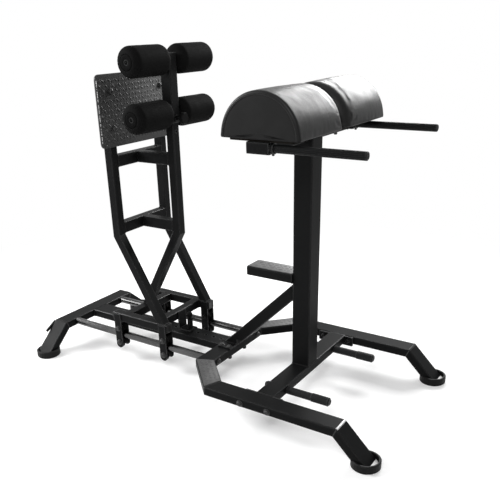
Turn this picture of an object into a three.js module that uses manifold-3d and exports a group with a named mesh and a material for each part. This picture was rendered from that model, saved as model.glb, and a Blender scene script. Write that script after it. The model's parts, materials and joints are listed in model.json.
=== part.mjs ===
// Glute ham developer: a bolted floor frame with a half-round hip pad on a post, and a foot carriage that
// rolls on two guide rods. Millimetres, +Z up, +X towards the hand grips, the near side is -Y.
// The origin is on the floor, in the middle of the four rubber feet.

import * as THREE from 'three';
import { mergeVertices } from 'three/addons/utils/BufferGeometryUtils.js';
import Module from 'manifold-3d';

const wasm = await Module();
wasm.setup();

// Clearances
const WELD_GAP = 0.3;
const BORE_GAP = 0.3;
const CUT_OVERRUN = 2;

// How finely round forms are divided
const CORNER_STEPS = 3;
const WIDE_STEPS = 28;
const ROUND_STEPS = 16;
const SMALL_STEPS = 10;
const HEX_STEPS = 6;

// Floor frame
const FOOT_SPAN = 1701;
const RAIL_Y = 365.25;
const BASE_TOP = 142;
const BASE_TUBE_WIDTH = 80;
const BASE_TUBE_HEIGHT = 38;
const BASE_CORNER = 5;
const FRONT_LEG_ANGLE = 45;
const FRONT_FOOT_AHEAD = 3.3;
const REAR_LEG_ANGLE = 41;
const REAR_FOOT_Y = 340;
const REAR_FOOT_INSET = 11.2;
const BACK_TUBE_X = 23.5;
const BACK_CORNER_Y = 207;
const RAIL_CORNER_X = 177.5;
const SPINE_WIDTH = 94;

// Rubber feet
const FOOT_RADIUS = 55.5;
const FOOT_HEIGHT = 33;
const FOOT_RECESS_RADIUS = 47;
const FOOT_RECESS_DEPTH = 17.5;
const FOOT_ROUNDING = 3;

// Front cross tube, its bolted flanges and the band pegs
const POST_X = 401.8;
const FLANGE_THICKNESS = 6;
const FLANGE_LENGTH = 172;
const FLANGE_HEIGHT = 44;
const FLANGE_Z = 117;
const FLANGE_BEHIND = 6.3;
const FLANGE_BOLT_PITCH = 124;
const FLANGE_BOLT_Z = 120;
const PEG_END_DISTANCE = 111;
const PEG_Z = 117.5;
const PEG_RADIUS = 16;
const PEG_LENGTH = 187.4;
const PEG_CAP_RADIUS = 18;
const PEG_CAP_LENGTH = 78;
const PEG_NUT_RADIUS = 14.5;
const PEG_NUT_LENGTH = 28;

// Post, its brace and the step
const POST_TUBE = 80;
const POST_CORNER = 5;
const BRACE_WIDTH = 40;
const BRACE_DEPTH = 50;
const BRACE_CORNER = 4;
const BRACE_ANGLE = 44.5;
const BRACE_TOP_Z = 466.5;
const BRACE_PLATE_LENGTH = 70;
const BRACE_PLATE_WIDTH = 146;
const BRACE_PLATE_THICKNESS = 6;
const BRACE_PLATE_AHEAD = 7.5;
const BRACE_BOLT_PITCH_X = 42;
const BRACE_BOLT_Y = 60;
const STEP_LENGTH = 213;
const STEP_WIDTH = 94;
const STEP_HEIGHT = 40;
const STEP_TOP = 545;

// Hip pads, their boards, the cradle and the hand grips
const PAD_RADIUS = 156;
const PAD_X = 399;
const PAD_BASE_Z = 1117;
const PAD_END_Y = 347;
const PAD_SPLIT = 20;
const PAD_INNER_ROUNDING = 22;
const PAD_OUTER_ROUNDING = 5;
const PAD_BASE_ROUNDING = 7;
const PAD_CROWN = 1.5;
const PAD_SEAM = 2;
const BOARD_THICKNESS = 8;
const BOARD_INSET = 29;
const BOARD_END_INSET = 12;
const BOARD_CORNER = 14;
const CRADLE_TUBE = 40;
const CRADLE_CORNER = 4;
const GRIP_Y = 326;
const RECEIVER_REAR_X = 354;
const RECEIVER_LENGTH = 83;
const COLLAR_RADIUS = 18.5;
const COLLAR_LENGTH = 14;
const SET_SCREW_RADIUS = 4.5;
const SET_SCREW_LENGTH = 5;
const GRIP_RADIUS = 14.5;
const GRIP_TIP_X = 778.8;
const GRIP_TIP_ROUNDING = 4;
const GRIP_SEAT = 8;
const PLUG_DOME = 9;

// Guide rods and the carriage's bed
const TRACK_Y = 162.5;
const ROD_RADIUS = 17;
const ROD_Z = 124;
const BED_TUBE = 40;
const BED_CORNER = 4;
const BED_TOP = 239.5;
const CARRIAGE_X = -370.5;
const CARRIAGE_LENGTH = 324;
const FRONT_CROSS_OFFSET = 86.5;
const REAR_CROSS_OFFSET = -93.5;

// Roller brackets and the grooved guide rollers
const BRACKET_WIDTH = 40;
const BRACKET_REAR_INSET = 28;
const BRACKET_FRONT_INSET = 23;
const BRACKET_THICKNESS = 5;
const BRACKET_TOP = 236;
const BRACKET_BOTTOM = 60;
const BRACKET_ROUNDING = 18;
const ROLLER_CORE_RADIUS = 18.2;
const ROLLER_GROOVE_RADIUS = 19;
const ROLLER_RADIUS = 26.5;
const ROLLER_WIDTH = 34;
const ROLLER_HUB_RADIUS = 9;
const ROLLER_BOLT_RADIUS = 5;

// Uprights, centre post, their braces and the foot plate
const MAST_TUBE = 40;
const MAST_CORNER = 4;
const UPRIGHT_OFFSET = -85.4;
const UPRIGHT_FOOT_OFFSET = 129.5;
const UPRIGHT_BEND_Z = 622.5;
const UPRIGHT_TOP = 1290;
const MAST_OFFSET = 126.5;
const MAST_BEND_Z = 625;
const MAST_TOP = 1305;
const MAST_BRACE_HEIGHT = 50;
const LOWER_BRACE_Z = 656;
const UPPER_BRACE_Z = 948;
const PLATE_THICKNESS = 6;
const PLATE_HALF_WIDTH = 237;
const PLATE_BOTTOM = 1011;
const PLATE_TOP = 1300;
const PLATE_CORNER = 20;
const PLATE_BOLT_Y = 155;
const PLATE_BOLT_LOW_Z = 1084;
const PLATE_BOLT_HIGH_Z = 1231;

// Sliding sleeve, its pull pin and the foam ankle rollers
const SLEEVE_TUBE = 50;
const SLEEVE_CORNER = 5;
const SLEEVE_BORE_GAP = 0.5;
const SLEEVE_BOTTOM = 1100;
const SLEEVE_LENGTH = 272;
const SLEEVE_LID = 3;
const PIN_RISE = 19;
const PIN_RADIUS = 4.7;
const PIN_HOLE_RADIUS = 5.3;
const PIN_PITCH = 55;
const PIN_HOLES_ABOVE = 2;
const PIN_HOLES_BELOW = 1;
const PIN_HOLE_DEPTH = 14;
const PIN_BARREL_RADIUS = 11;
const PIN_BARREL_LENGTH = 22;
const KNOB_RADIUS = 24;
const KNOB_LENGTH = 25;
const UPPER_AXLE_DROP = 26;
const LOWER_AXLE_RISE = 37.5;
const AXLE_RADIUS = 12.5;
const FOAM_RADIUS = 59;
const FOAM_INNER_Y = 36;
const FOAM_OUTER_Y = 250;
const FOAM_ROUNDING = 28;
const FOAM_HUB_RADIUS = 30.5;
const FOAM_HUB_RECESS = 3;
const AXLE_CAP_RADIUS = 16;
const AXLE_CAP_LENGTH = 2.4;
const AXLE_HOLE_RADIUS = 8.5;
const AXLE_HOLE_DEPTH = 14;

// Carriage lock pin over the spine
const LOCK_OFFSET = 157;
const LOCK_PIN_RADIUS = 6;
const LOCK_BARREL_RADIUS = 13;
const LOCK_BARREL_TOP = 200;
const LOCK_SHELF_Z = 150;
const LOCK_PLATE = 6;
const LOCK_HALF_WIDTH = 28;
const LOCK_SHELF_AHEAD = 20;
const LOCK_BALL_RADIUS = 14;
const LOCK_BALL_Z = 227;
const LOCK_NECK_RADIUS = 7;
const LOCK_HOLE_RADIUS = 7;
const LOCK_HOLE_DEPTH = 14;
const LOCK_HOLE_PITCH = 45;
const LOCK_HOLES_BEHIND = 6;
const LOCK_HOLES_AHEAD = 4;

// Fasteners, each tightened onto the piece that carries it
const BOLT_RADIUS = 10;
const BOLT_HEIGHT = 7;
const NUT_RADIUS = 9.5;
const NUT_HEIGHT = 10;
const BRACE_NUT_HEIGHT = 14;
const BOLT_SEAT = 1;

// Places that follow from the sizes above
const baseMid = BASE_TOP - BASE_TUBE_HEIGHT / 2;
const baseBottom = BASE_TOP - BASE_TUBE_HEIGHT;
const footRecessZ = FOOT_HEIGHT - FOOT_RECESS_DEPTH;
const legEndZ = footRecessZ + WELD_GAP;
const legDrop = baseMid - legEndZ;
const frontFootX = FOOT_SPAN / 2;
const rearTubeX = -FOOT_SPAN / 2;
const railBendX = frontFootX - FRONT_FOOT_AHEAD - legDrop / Math.tan(THREE.MathUtils.degToRad(FRONT_LEG_ANGLE));
const rearLandingY = REAR_FOOT_Y + REAR_FOOT_INSET;
const rearBendY = rearLandingY - legDrop / Math.tan(THREE.MathUtils.degToRad(REAR_LEG_ANGLE));
const spineRearX = rearTubeX + BASE_TUBE_WIDTH / 2 + WELD_GAP;
const spineFrontX = BACK_TUBE_X - BASE_TUBE_WIDTH / 2 - WELD_GAP;
const boardTop = PAD_BASE_Z - WELD_GAP;
const boardBottom = boardTop - BOARD_THICKNESS;
const cradleTop = boardBottom - WELD_GAP;
const cradleMid = cradleTop - CRADLE_TUBE / 2;
const bedMid = BED_TOP - BED_TUBE / 2;
const bedSide = TRACK_Y - BED_TUBE / 2;
const bracketRearOffset = BRACKET_REAR_INSET - CARRIAGE_LENGTH / 2;
const bracketFrontOffset = CARRIAGE_LENGTH / 2 - BRACKET_FRONT_INSET;
const rollerRise = ROD_RADIUS + ROLLER_CORE_RADIUS + BORE_GAP;
const mastFront = MAST_TUBE / 2;
const sleeveFront = SLEEVE_TUBE / 2;
const sleeveTop = SLEEVE_BOTTOM + SLEEVE_LENGTH;
const pinZ = SLEEVE_BOTTOM + PIN_RISE;
const upperAxleZ = sleeveTop - UPPER_AXLE_DROP;
const lowerAxleZ = SLEEVE_BOTTOM + LOWER_AXLE_RISE;
const plateBack = UPRIGHT_OFFSET + MAST_TUBE / 2 + WELD_GAP;
const plateFront = plateBack + PLATE_THICKNESS;

const X = new THREE.Vector3(1, 0, 0);
const Y = new THREE.Vector3(0, 1, 0);
const Z = new THREE.Vector3(0, 0, 1);
const at = (x, y, z) => new THREE.Vector3(x, y, z);

// Materials, one made for each piece
const finish = (color, roughness, metalness) => () => (
  new THREE.MeshStandardMaterial({ color, roughness, metalness }));
const blackCoat = finish(0x1a1b1d, 0.45, 0.3);
const chrome = finish(0xb9bcc0, 0.18, 1);
const blackRubber = finish(0x111111, 0.7, 0);
const blackVinyl = finish(0x1c1c1d, 0.3, 0);
const blackFoam = finish(0x161616, 0.85, 0);
const blackPlastic = finish(0x141416, 0.4, 0);
const plywood = finish(0x1b1a19, 0.8, 0);
const treadPlate = finish(0x3a3b3d, 0.4, 0.6);
const darkSteel = finish(0x242527, 0.35, 0.9);

/** Position-only geometry with shared vertices and no flat triangles. */
function bare(geometry) {
  const copy = geometry.clone();
  copy.deleteAttribute('normal');
  copy.deleteAttribute('uv');
  const merged = mergeVertices(copy);
  const corners = merged.index.array;
  const kept = [];
  for (let i = 0; i < corners.length; i += 3) {
    const [a, b, c] = [corners[i], corners[i + 1], corners[i + 2]];
    if (a !== b && b !== c && c !== a) kept.push(a, b, c);
  }
  merged.setIndex(kept);
  return merged;
}

/** The same geometry on the other side of the XZ plane, faces still pointing out. */
function mirrored(geometry) {
  const copy = bare(geometry);
  copy.applyMatrix4(new THREE.Matrix4().makeScale(1, -1, 1));
  copy.setIndex(Array.from(copy.index.array).reverse());
  return copy;
}

function toManifold(geometry) {
  const clean = bare(geometry);
  return new wasm.Manifold(new wasm.Mesh({
    numProp: 3,
    vertProperties: new Float32Array(clean.attributes.position.array),
    triVerts: new Uint32Array(clean.index.array),
  }));
}

function fromManifold(manifold) {
  const mesh = manifold.getMesh();
  const geometry = new THREE.BufferGeometry();
  geometry.setAttribute('position', new THREE.BufferAttribute(new Float32Array(mesh.vertProperties), 3));
  geometry.setIndex(Array.from(mesh.triVerts));
  return geometry;
}

const fuse = (first, ...others) => fromManifold(
  others.reduce((sum, other) => sum.add(toManifold(other)), toManifold(first)));
const cut = (body, ...tools) => fromManifold(
  tools.reduce((rest, tool) => rest.subtract(toManifold(tool)), toManifold(body)));
const moved = (geometry, x, y, z) => geometry.clone().translate(x, y, z);

/** A closed skin over rings of points, each ring counter-clockwise as seen from the last one. */
function loft(rings) {
  const count = rings[0].length;
  const index = [];
  for (let ring = 0; ring + 1 < rings.length; ring += 1) {
    for (let k = 0; k < count; k += 1) {
      const next = (k + 1) % count;
      const low = ring * count;
      const high = low + count;
      index.push(low + k, low + next, high + next, low + k, high + next, high + k);
    }
  }
  const last = (rings.length - 1) * count;
  for (let k = 1; k + 1 < count; k += 1) {
    index.push(0, k + 1, k, last, last + k, last + k + 1);
  }
  const geometry = new THREE.BufferGeometry().setFromPoints(rings.flat());
  geometry.setIndex(index);
  return geometry;
}

/** Outline of a rectangular tube with rounded corners, counter-clockwise. */
function tubeOutline(width, height, corner) {
  const points = [];
  for (let quarter = 0; quarter < 4; quarter += 1) {
    const sx = quarter === 0 || quarter === 3 ? 1 : -1;
    const sy = quarter < 2 ? 1 : -1;
    for (let step = 0; step <= CORNER_STEPS; step += 1) {
      const angle = (quarter + step / CORNER_STEPS) * Math.PI / 2;
      points.push(new THREE.Vector2(
        sx * (width / 2 - corner) + corner * Math.cos(angle),
        sy * (height / 2 - corner) + corner * Math.sin(angle),
      ));
    }
  }
  return points;
}

/**
 * A tube that carries an outline along straight runs and is mitred at each bend. `across` is square to every
 * run and takes the outline's second size. Its ends lie on planes with the normals given, or are cut square.
 */
function tubeAlong(outline, path, across, { startCut, endCut, startGap = 0, endGap = 0 } = {}) {
  const runs = path.slice(1).map((point, i) => point.clone().sub(path[i]).normalize());
  const last = path.length - 1;
  const rings = path.map((point, i) => {
    const run = runs[Math.min(i, last - 1)];
    const before = runs[Math.max(i - 1, 0)];
    let plane = before.clone().add(run).normalize();
    if (i === 0 && startCut) plane = startCut;
    if (i === last && endCut) plane = endCut;
    const slope = Math.abs(plane.dot(before));
    const shift = i === 0 ? startGap / slope : 0;
    const back = i === last ? endGap / slope : 0;
    const centre = point.clone().addScaledVector(before, shift - back);
    const upward = across.clone().cross(before);
    return outline.map(({ x, y }) => {
      const offset = upward.clone().multiplyScalar(x).addScaledVector(across, y);
      const slide = -offset.dot(plane) / before.dot(plane);
      return centre.clone().add(offset).addScaledVector(before, slide);
    });
  });
  return loft(rings);
}

/** The plane that halves the corner at a point between two runs. */
function mitre(before, corner, after) {
  const arriving = corner.clone().sub(before).normalize();
  const leaving = after.clone().sub(corner).normalize();
  return arriving.add(leaving).normalize();
}

/** A turned piece from [radius, distance along] pairs, with its axis along X, Y or Z. */
function turned(profile, steps, axis) {
  const points = profile.map(([radius, along]) => new THREE.Vector2(radius, along));
  const geometry = bare(new THREE.LatheGeometry(points, steps));
  if (axis === X) geometry.rotateZ(-Math.PI / 2);
  if (axis === Z) geometry.rotateX(Math.PI / 2);
  return geometry;
}

const rod = (radius, length, steps, axis) => (
  turned([[0, 0], [radius, 0], [radius, length], [0, length]], steps, axis));

/** A flat plate from a shape in two axes, from zero to its thickness along the third. */
function plate(shape, thickness, normal) {
  const geometry = bare(new THREE.ExtrudeGeometry(shape, {
    depth: thickness,
    bevelEnabled: false,
    curveSegments: 2,
  }));
  if (normal === X) geometry.rotateX(Math.PI / 2).rotateZ(Math.PI / 2);
  if (normal === Y) geometry.rotateX(Math.PI / 2).translate(0, thickness, 0);
  return geometry;
}

function roundedShape(width, height, corner) {
  return new THREE.Shape(tubeOutline(width, height, corner));
}

/** A fastener head that stands on a face at a point, its foot sunk by the seat depth. */
function headOn(profile, steps, axis, sign, point) {
  const [radius] = profile[0];
  const head = turned([[0, -BOLT_SEAT], [radius, -BOLT_SEAT], ...profile], steps, axis);
  if (sign < 0) head.applyMatrix4(new THREE.Matrix4().makeRotationAxis(axis === Z ? X : Z, Math.PI));
  return head.translate(point.x, point.y, point.z);
}

const bolt = (axis, sign, point) => headOn([
  [BOLT_RADIUS, BOLT_HEIGHT / 3], [BOLT_RADIUS * Math.SQRT1_2, BOLT_HEIGHT * 5 / 6], [0, BOLT_HEIGHT],
], SMALL_STEPS, axis, sign, point);

const nut = (axis, sign, point, height = NUT_HEIGHT) => headOn([
  [NUT_RADIUS, height * 5 / 6], [NUT_RADIUS * 5 / 6, height], [0, height],
], HEX_STEPS, axis, sign, point);

const pegNut = (point) => headOn([
  [PEG_NUT_RADIUS, PEG_NUT_LENGTH / 2], [PEG_NUT_RADIUS * 3 / 4, PEG_NUT_LENGTH * 5 / 6], [0, PEG_NUT_LENGTH],
], SMALL_STEPS, X, -1, point);

const bothSides = [-1, 1];

// Floor frame: a closed run of rectangular tube with four splayed legs

const flatTube = tubeOutline(BASE_TUBE_WIDTH, BASE_TUBE_HEIGHT, BASE_CORNER);
const uprightTube = tubeOutline(BASE_TUBE_HEIGHT, BASE_TUBE_WIDTH, BASE_CORNER);
const nearCorners = {
  back: at(BACK_TUBE_X, -BACK_CORNER_Y, baseMid),
  rail: at(RAIL_CORNER_X, -RAIL_Y, baseMid),
  bend: at(railBendX, -RAIL_Y, baseMid),
  foot: at(frontFootX - FRONT_FOOT_AHEAD, -RAIL_Y, legEndZ),
};
const farBack = at(BACK_TUBE_X, BACK_CORNER_Y, baseMid);
const halfGap = WELD_GAP / 2;
const backMitre = mitre(farBack, nearCorners.back, nearCorners.rail);
const farBackMitre = backMitre.clone().multiply(at(-1, 1, 1));
const cornerMitre = mitre(nearCorners.back, nearCorners.rail, nearCorners.bend);
const legMitre = mitre(nearCorners.rail, nearCorners.bend, nearCorners.foot);

const bracePlateTop = BASE_TOP + WELD_GAP + BRACE_PLATE_THICKNESS;
const bracePlateX = BACK_TUBE_X + BRACE_PLATE_AHEAD;
const braceBoltPlaces = (z) => bothSides.flatMap((side) => bothSides.map((end) => (
  at(bracePlateX + end * BRACE_BOLT_PITCH_X / 2, side * BRACE_BOLT_Y, z))));

/** The back cross tube, with the bolts that hold the guide rods and the nuts below the brace's foot. */
function backCrossTube() {
  const tube = tubeAlong(flatTube, [farBack, nearCorners.back], Z, {
    startCut: farBackMitre, endCut: backMitre, startGap: halfGap, endGap: halfGap,
  });
  const front = BACK_TUBE_X + BASE_TUBE_WIDTH / 2;
  return fuse(
    tube,
    ...bothSides.map((side) => bolt(X, 1, at(front, side * TRACK_Y, ROD_Z))),
    ...braceBoltPlaces(baseBottom).map((place) => nut(Z, -1, place, BRACE_NUT_HEIGHT)),
  );
}

function cornerTube() {
  return tubeAlong(flatTube, [nearCorners.back, nearCorners.rail], Z, {
    startCut: backMitre, endCut: cornerMitre, startGap: halfGap, endGap: halfGap,
  });
}

const railInner = RAIL_Y - BASE_TUBE_WIDTH / 2;
const railOuter = RAIL_Y + BASE_TUBE_WIDTH / 2;
const flangeX = POST_X - FLANGE_BEHIND;
const flangeOuterY = railInner - WELD_GAP;
const flangeInnerY = flangeOuterY - FLANGE_THICKNESS;
const pegY = flangeOuterY - PEG_END_DISTANCE;
const flangeBoltXs = bothSides.map((end) => flangeX + end * FLANGE_BOLT_PITCH / 2);

/** A base rail with the heads of its flange bolts on the outer side. */
function baseRail() {
  const tube = tubeAlong(flatTube, [nearCorners.rail, nearCorners.bend], Z, {
    startCut: cornerMitre, endCut: legMitre, startGap: halfGap, endGap: halfGap,
  });
  return fuse(tube, ...flangeBoltXs.map((x) => bolt(Y, -1, at(x, -railOuter, FLANGE_BOLT_Z))));
}

function legTube(outline, top, bottom, across, topCut) {
  return tubeAlong(outline, [top, bottom], across, { startCut: topCut, endCut: Z, startGap: halfGap });
}

const rearBend = at(rearTubeX, -rearBendY, baseMid);
const farRearBend = at(rearTubeX, rearBendY, baseMid);
const rearLanding = at(rearTubeX, -rearLandingY, legEndZ);
const rearMitre = mitre(farRearBend, rearBend, rearLanding);
const farRearMitre = rearMitre.clone().multiply(at(1, 1, -1));

/** The rear cross tube, with the bolts that hold the guide rods. */
function rearCrossTube() {
  const tube = tubeAlong(uprightTube, [farRearBend, rearBend], X, {
    startCut: farRearMitre, endCut: rearMitre, startGap: halfGap, endGap: halfGap,
  });
  const back = rearTubeX - BASE_TUBE_WIDTH / 2;
  return fuse(tube, ...bothSides.map((side) => bolt(X, -1, at(back, side * TRACK_Y, ROD_Z))));
}

/** A rubber foot cup, its rim notched where the corners of the leg stand in it. */
function footCup(leg) {
  const cup = turned([
    [0, 0],
    [FOOT_RADIUS - FOOT_ROUNDING, 0],
    [FOOT_RADIUS, FOOT_ROUNDING],
    [FOOT_RADIUS, FOOT_HEIGHT - FOOT_ROUNDING],
    [FOOT_RADIUS - FOOT_ROUNDING, FOOT_HEIGHT],
    [FOOT_RECESS_RADIUS, FOOT_HEIGHT],
    [FOOT_RECESS_RADIUS - FOOT_ROUNDING, footRecessZ],
    [0, footRecessZ],
  ], WIDE_STEPS, Z);
  return cut(cup, leg);
}

const roomOutline = (width, height, corner) => (
  tubeOutline(width + 2 * WELD_GAP, height + 2 * WELD_GAP, corner + WELD_GAP));

/** The room that a leg takes in its foot cup, in the cup's own frame. */
function legRoom(outline, top, landing, across, cupCentre) {
  const away = landing.clone().sub(top).normalize();
  const floor = landing.clone().addScaledVector(away, -WELD_GAP / away.z);
  floor.z = footRecessZ;
  return tubeAlong(outline, [top, floor], across, { endCut: Z }).translate(-cupCentre.x, -cupCentre.y, 0);
}

function frontFoot() {
  const outline = roomOutline(BASE_TUBE_HEIGHT, BASE_TUBE_WIDTH, BASE_CORNER);
  return footCup(legRoom(outline, nearCorners.bend, nearCorners.foot, Y, at(frontFootX, -RAIL_Y, 0)));
}

function rearFoot() {
  const outline = roomOutline(BASE_TUBE_HEIGHT, BASE_TUBE_WIDTH, BASE_CORNER);
  return footCup(legRoom(outline, rearBend, rearLanding, X, at(rearTubeX, -REAR_FOOT_Y, 0)));
}

/** The spine between the cross tubes, with a row of lock holes in its top. */
function spineTube() {
  const outline = tubeOutline(SPINE_WIDTH, BASE_TUBE_HEIGHT, BASE_CORNER);
  const tube = tubeAlong(outline, [at(spineRearX, 0, baseMid), at(spineFrontX, 0, baseMid)], Z);
  const holes = [];
  for (let k = -LOCK_HOLES_BEHIND; k <= LOCK_HOLES_AHEAD; k += 1) {
    const hole = rod(LOCK_HOLE_RADIUS, LOCK_HOLE_DEPTH + CUT_OVERRUN, SMALL_STEPS, Z);
    holes.push(moved(hole, CARRIAGE_X + LOCK_OFFSET + k * LOCK_HOLE_PITCH, 0, BASE_TOP - LOCK_HOLE_DEPTH));
  }
  return cut(tube, ...holes);
}

/** The cross tube between the rails: a welded flange with its nuts at each end, and the peg nuts behind. */
function frontCrossTube() {
  const tube = tubeAlong(flatTube, [at(POST_X, -flangeOuterY, baseMid), at(POST_X, flangeOuterY, baseMid)], Z);
  const flange = plate(roundedShape(FLANGE_LENGTH, FLANGE_HEIGHT, BASE_CORNER), FLANGE_THICKNESS, Y);
  return fuse(
    tube,
    moved(flange, flangeX, -flangeOuterY, FLANGE_Z),
    moved(flange, flangeX, flangeInnerY, FLANGE_Z),
    ...flangeBoltXs.flatMap((x) => bothSides.map((side) => (
      nut(Y, -side, at(x, side * flangeInnerY, FLANGE_BOLT_Z))))),
    ...bothSides.map((side) => pegNut(at(POST_X - BASE_TUBE_WIDTH / 2, side * pegY, PEG_Z))),
  );
}

function bandPeg() {
  return turned([
    [0, 0],
    [PEG_RADIUS, 0],
    [PEG_RADIUS, PEG_LENGTH - PEG_CAP_LENGTH],
    [PEG_CAP_RADIUS, PEG_LENGTH - PEG_CAP_LENGTH],
    [PEG_CAP_RADIUS, PEG_LENGTH - PEG_CAP_RADIUS / 3],
    [PEG_CAP_RADIUS * 2 / 3, PEG_LENGTH],
    [0, PEG_LENGTH],
  ], ROUND_STEPS, X);
}

// Post, brace, step

function frontPost() {
  const outline = tubeOutline(POST_TUBE, POST_TUBE, POST_CORNER);
  return tubeAlong(outline, [at(POST_X, 0, BASE_TOP + WELD_GAP), at(POST_X, 0, cradleTop)], Y);
}

/** The sloping brace, cut flat on the post and on its bolted foot plate. */
function postBrace() {
  const outline = tubeOutline(BRACE_DEPTH, BRACE_WIDTH, BRACE_CORNER);
  const topX = POST_X - POST_TUBE / 2 - WELD_GAP;
  const footZ = BASE_TOP + WELD_GAP + BRACE_PLATE_THICKNESS / 2;
  const footX = topX - (BRACE_TOP_Z - footZ) / Math.tan(THREE.MathUtils.degToRad(BRACE_ANGLE));
  const tube = tubeAlong(outline, [at(footX, 0, footZ), at(topX, 0, BRACE_TOP_Z)], Y, {
    startCut: Z, endCut: X,
  });
  const front = bracePlateX + BRACE_PLATE_LENGTH / 2;
  const spare = new THREE.BoxGeometry(BRACE_DEPTH, POST_TUBE, BRACE_DEPTH);
  const trimmed = cut(tube, moved(spare, front + BRACE_DEPTH / 2, 0, footZ));
  const foot = plate(roundedShape(BRACE_PLATE_LENGTH, BRACE_PLATE_WIDTH, BRACE_CORNER), BRACE_PLATE_THICKNESS, Z);
  return fuse(
    trimmed,
    moved(foot, bracePlateX, 0, BASE_TOP + WELD_GAP),
    ...braceBoltPlaces(bracePlateTop).map((place) => bolt(Z, 1, place)),
  );
}

function stepTube() {
  const outline = tubeOutline(STEP_WIDTH, STEP_HEIGHT, BASE_CORNER);
  const front = POST_X - POST_TUBE / 2 - WELD_GAP;
  const middle = STEP_TOP - STEP_HEIGHT / 2;
  return tubeAlong(outline, [at(front - STEP_LENGTH, 0, middle), at(front, 0, middle)], Z);
}

// Hip pad cradle, hand grips, boards and pads

/** One receiver tube with its clamp collar and rear plug, on an arm that reaches the side of the post. */
function cradleSide() {
  const outline = tubeOutline(CRADLE_TUBE, CRADLE_TUBE, CRADLE_CORNER);
  const rear = at(RECEIVER_REAR_X, -GRIP_Y, cradleMid);
  const front = at(RECEIVER_REAR_X + RECEIVER_LENGTH, -GRIP_Y, cradleMid);
  const receiver = tubeAlong(outline, [rear, front], Z);
  const arm = tubeAlong(outline, [at(POST_X, -GRIP_Y, cradleMid), at(POST_X, -POST_TUBE / 2 - WELD_GAP, cradleMid)], Z);
  const collar = rod(COLLAR_RADIUS, COLLAR_LENGTH + CUT_OVERRUN, ROUND_STEPS, X);
  const screw = rod(SET_SCREW_RADIUS, SET_SCREW_LENGTH + CUT_OVERRUN, SMALL_STEPS, Z);
  const bore = rod(GRIP_RADIUS + BORE_GAP, RECEIVER_LENGTH + COLLAR_LENGTH, ROUND_STEPS, X);
  const screwX = front.x + COLLAR_LENGTH / 2;
  const screwZ = cradleMid - COLLAR_RADIUS - SET_SCREW_LENGTH;
  return cut(
    fuse(
      receiver,
      arm,
      receiverPlug(),
      moved(collar, front.x - CUT_OVERRUN, -GRIP_Y, cradleMid),
      moved(screw, screwX, -GRIP_Y, screwZ),
    ),
    moved(bore, rear.x + GRIP_SEAT, -GRIP_Y, cradleMid),
  );
}

/** The domed square plug on the rear end of a receiver. */
function receiverPlug() {
  const domeShares = [[1, 0.45], [0.75, 0.75], [0.35, 1], [-0.2, 1]];
  const rings = domeShares.map(([out, share]) => (
    tubeOutline(CRADLE_TUBE * share, CRADLE_TUBE * share, CRADLE_CORNER * share)
      .map(({ x, y }) => at(RECEIVER_REAR_X - out * PLUG_DOME, x - GRIP_Y, y + cradleMid))));
  return loft(rings);
}

function handGrip() {
  const rear = RECEIVER_REAR_X + GRIP_SEAT + WELD_GAP;
  const length = GRIP_TIP_X - rear;
  const bar = turned([
    [0, 0],
    [GRIP_RADIUS, 0],
    [GRIP_RADIUS, length - GRIP_TIP_ROUNDING],
    [GRIP_RADIUS - GRIP_TIP_ROUNDING / 3, length - GRIP_TIP_ROUNDING / 3],
    [GRIP_RADIUS - GRIP_TIP_ROUNDING, length],
    [0, length],
  ], ROUND_STEPS, X);
  return moved(bar, rear, -GRIP_Y, cradleMid);
}

/** The board that both cushions are fixed to. */
function padBoard() {
  const shape = roundedShape(2 * (PAD_RADIUS - BOARD_INSET), 2 * (PAD_END_Y - BOARD_END_INSET), BOARD_CORNER);
  return moved(plate(shape, BOARD_THICKNESS, Z), PAD_X, 0, boardBottom);
}

/**
 * A half-round cushion. Its inner end is drawn in with a full rounding, its outer end with a tighter one that
 * stops at a sewn seam round the flat end panel, and its barrel has a slight crown.
 */
function hipPad() {
  const inner = PAD_SPLIT / 2;
  const length = PAD_END_Y - inner;
  const stations = [];
  const roundingSteps = 4;
  for (let k = 0; k <= roundingSteps; k += 1) {
    const angle = k / roundingSteps * Math.PI / 2;
    stations.push([
      inner + PAD_INNER_ROUNDING * (1 - Math.sin(angle)),
      PAD_RADIUS - PAD_CROWN - PAD_INNER_ROUNDING * (1 - Math.cos(angle)),
    ]);
  }
  stations.reverse();
  for (const share of [1 / 4, 1 / 2, 3 / 4]) {
    const crown = PAD_CROWN * (2 * share - 1) ** 2;
    stations.push([inner + length * share, PAD_RADIUS - crown]);
  }
  for (let k = 0; k <= roundingSteps; k += 1) {
    const angle = k / roundingSteps * Math.PI / 2;
    stations.push([
      PAD_END_Y - PAD_OUTER_ROUNDING * (1 - Math.sin(angle)),
      PAD_RADIUS - PAD_CROWN - PAD_OUTER_ROUNDING * (1 - Math.cos(angle)),
    ]);
  }
  stations.push([PAD_END_Y - PAD_SEAM, PAD_RADIUS - PAD_OUTER_ROUNDING - 2 * PAD_SEAM]);
  stations.push([PAD_END_Y - PAD_SEAM / 2, PAD_RADIUS - PAD_OUTER_ROUNDING - 4 * PAD_SEAM]);
  return loft(stations.map(([y, radius]) => padRing(-y, radius)));
}

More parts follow.
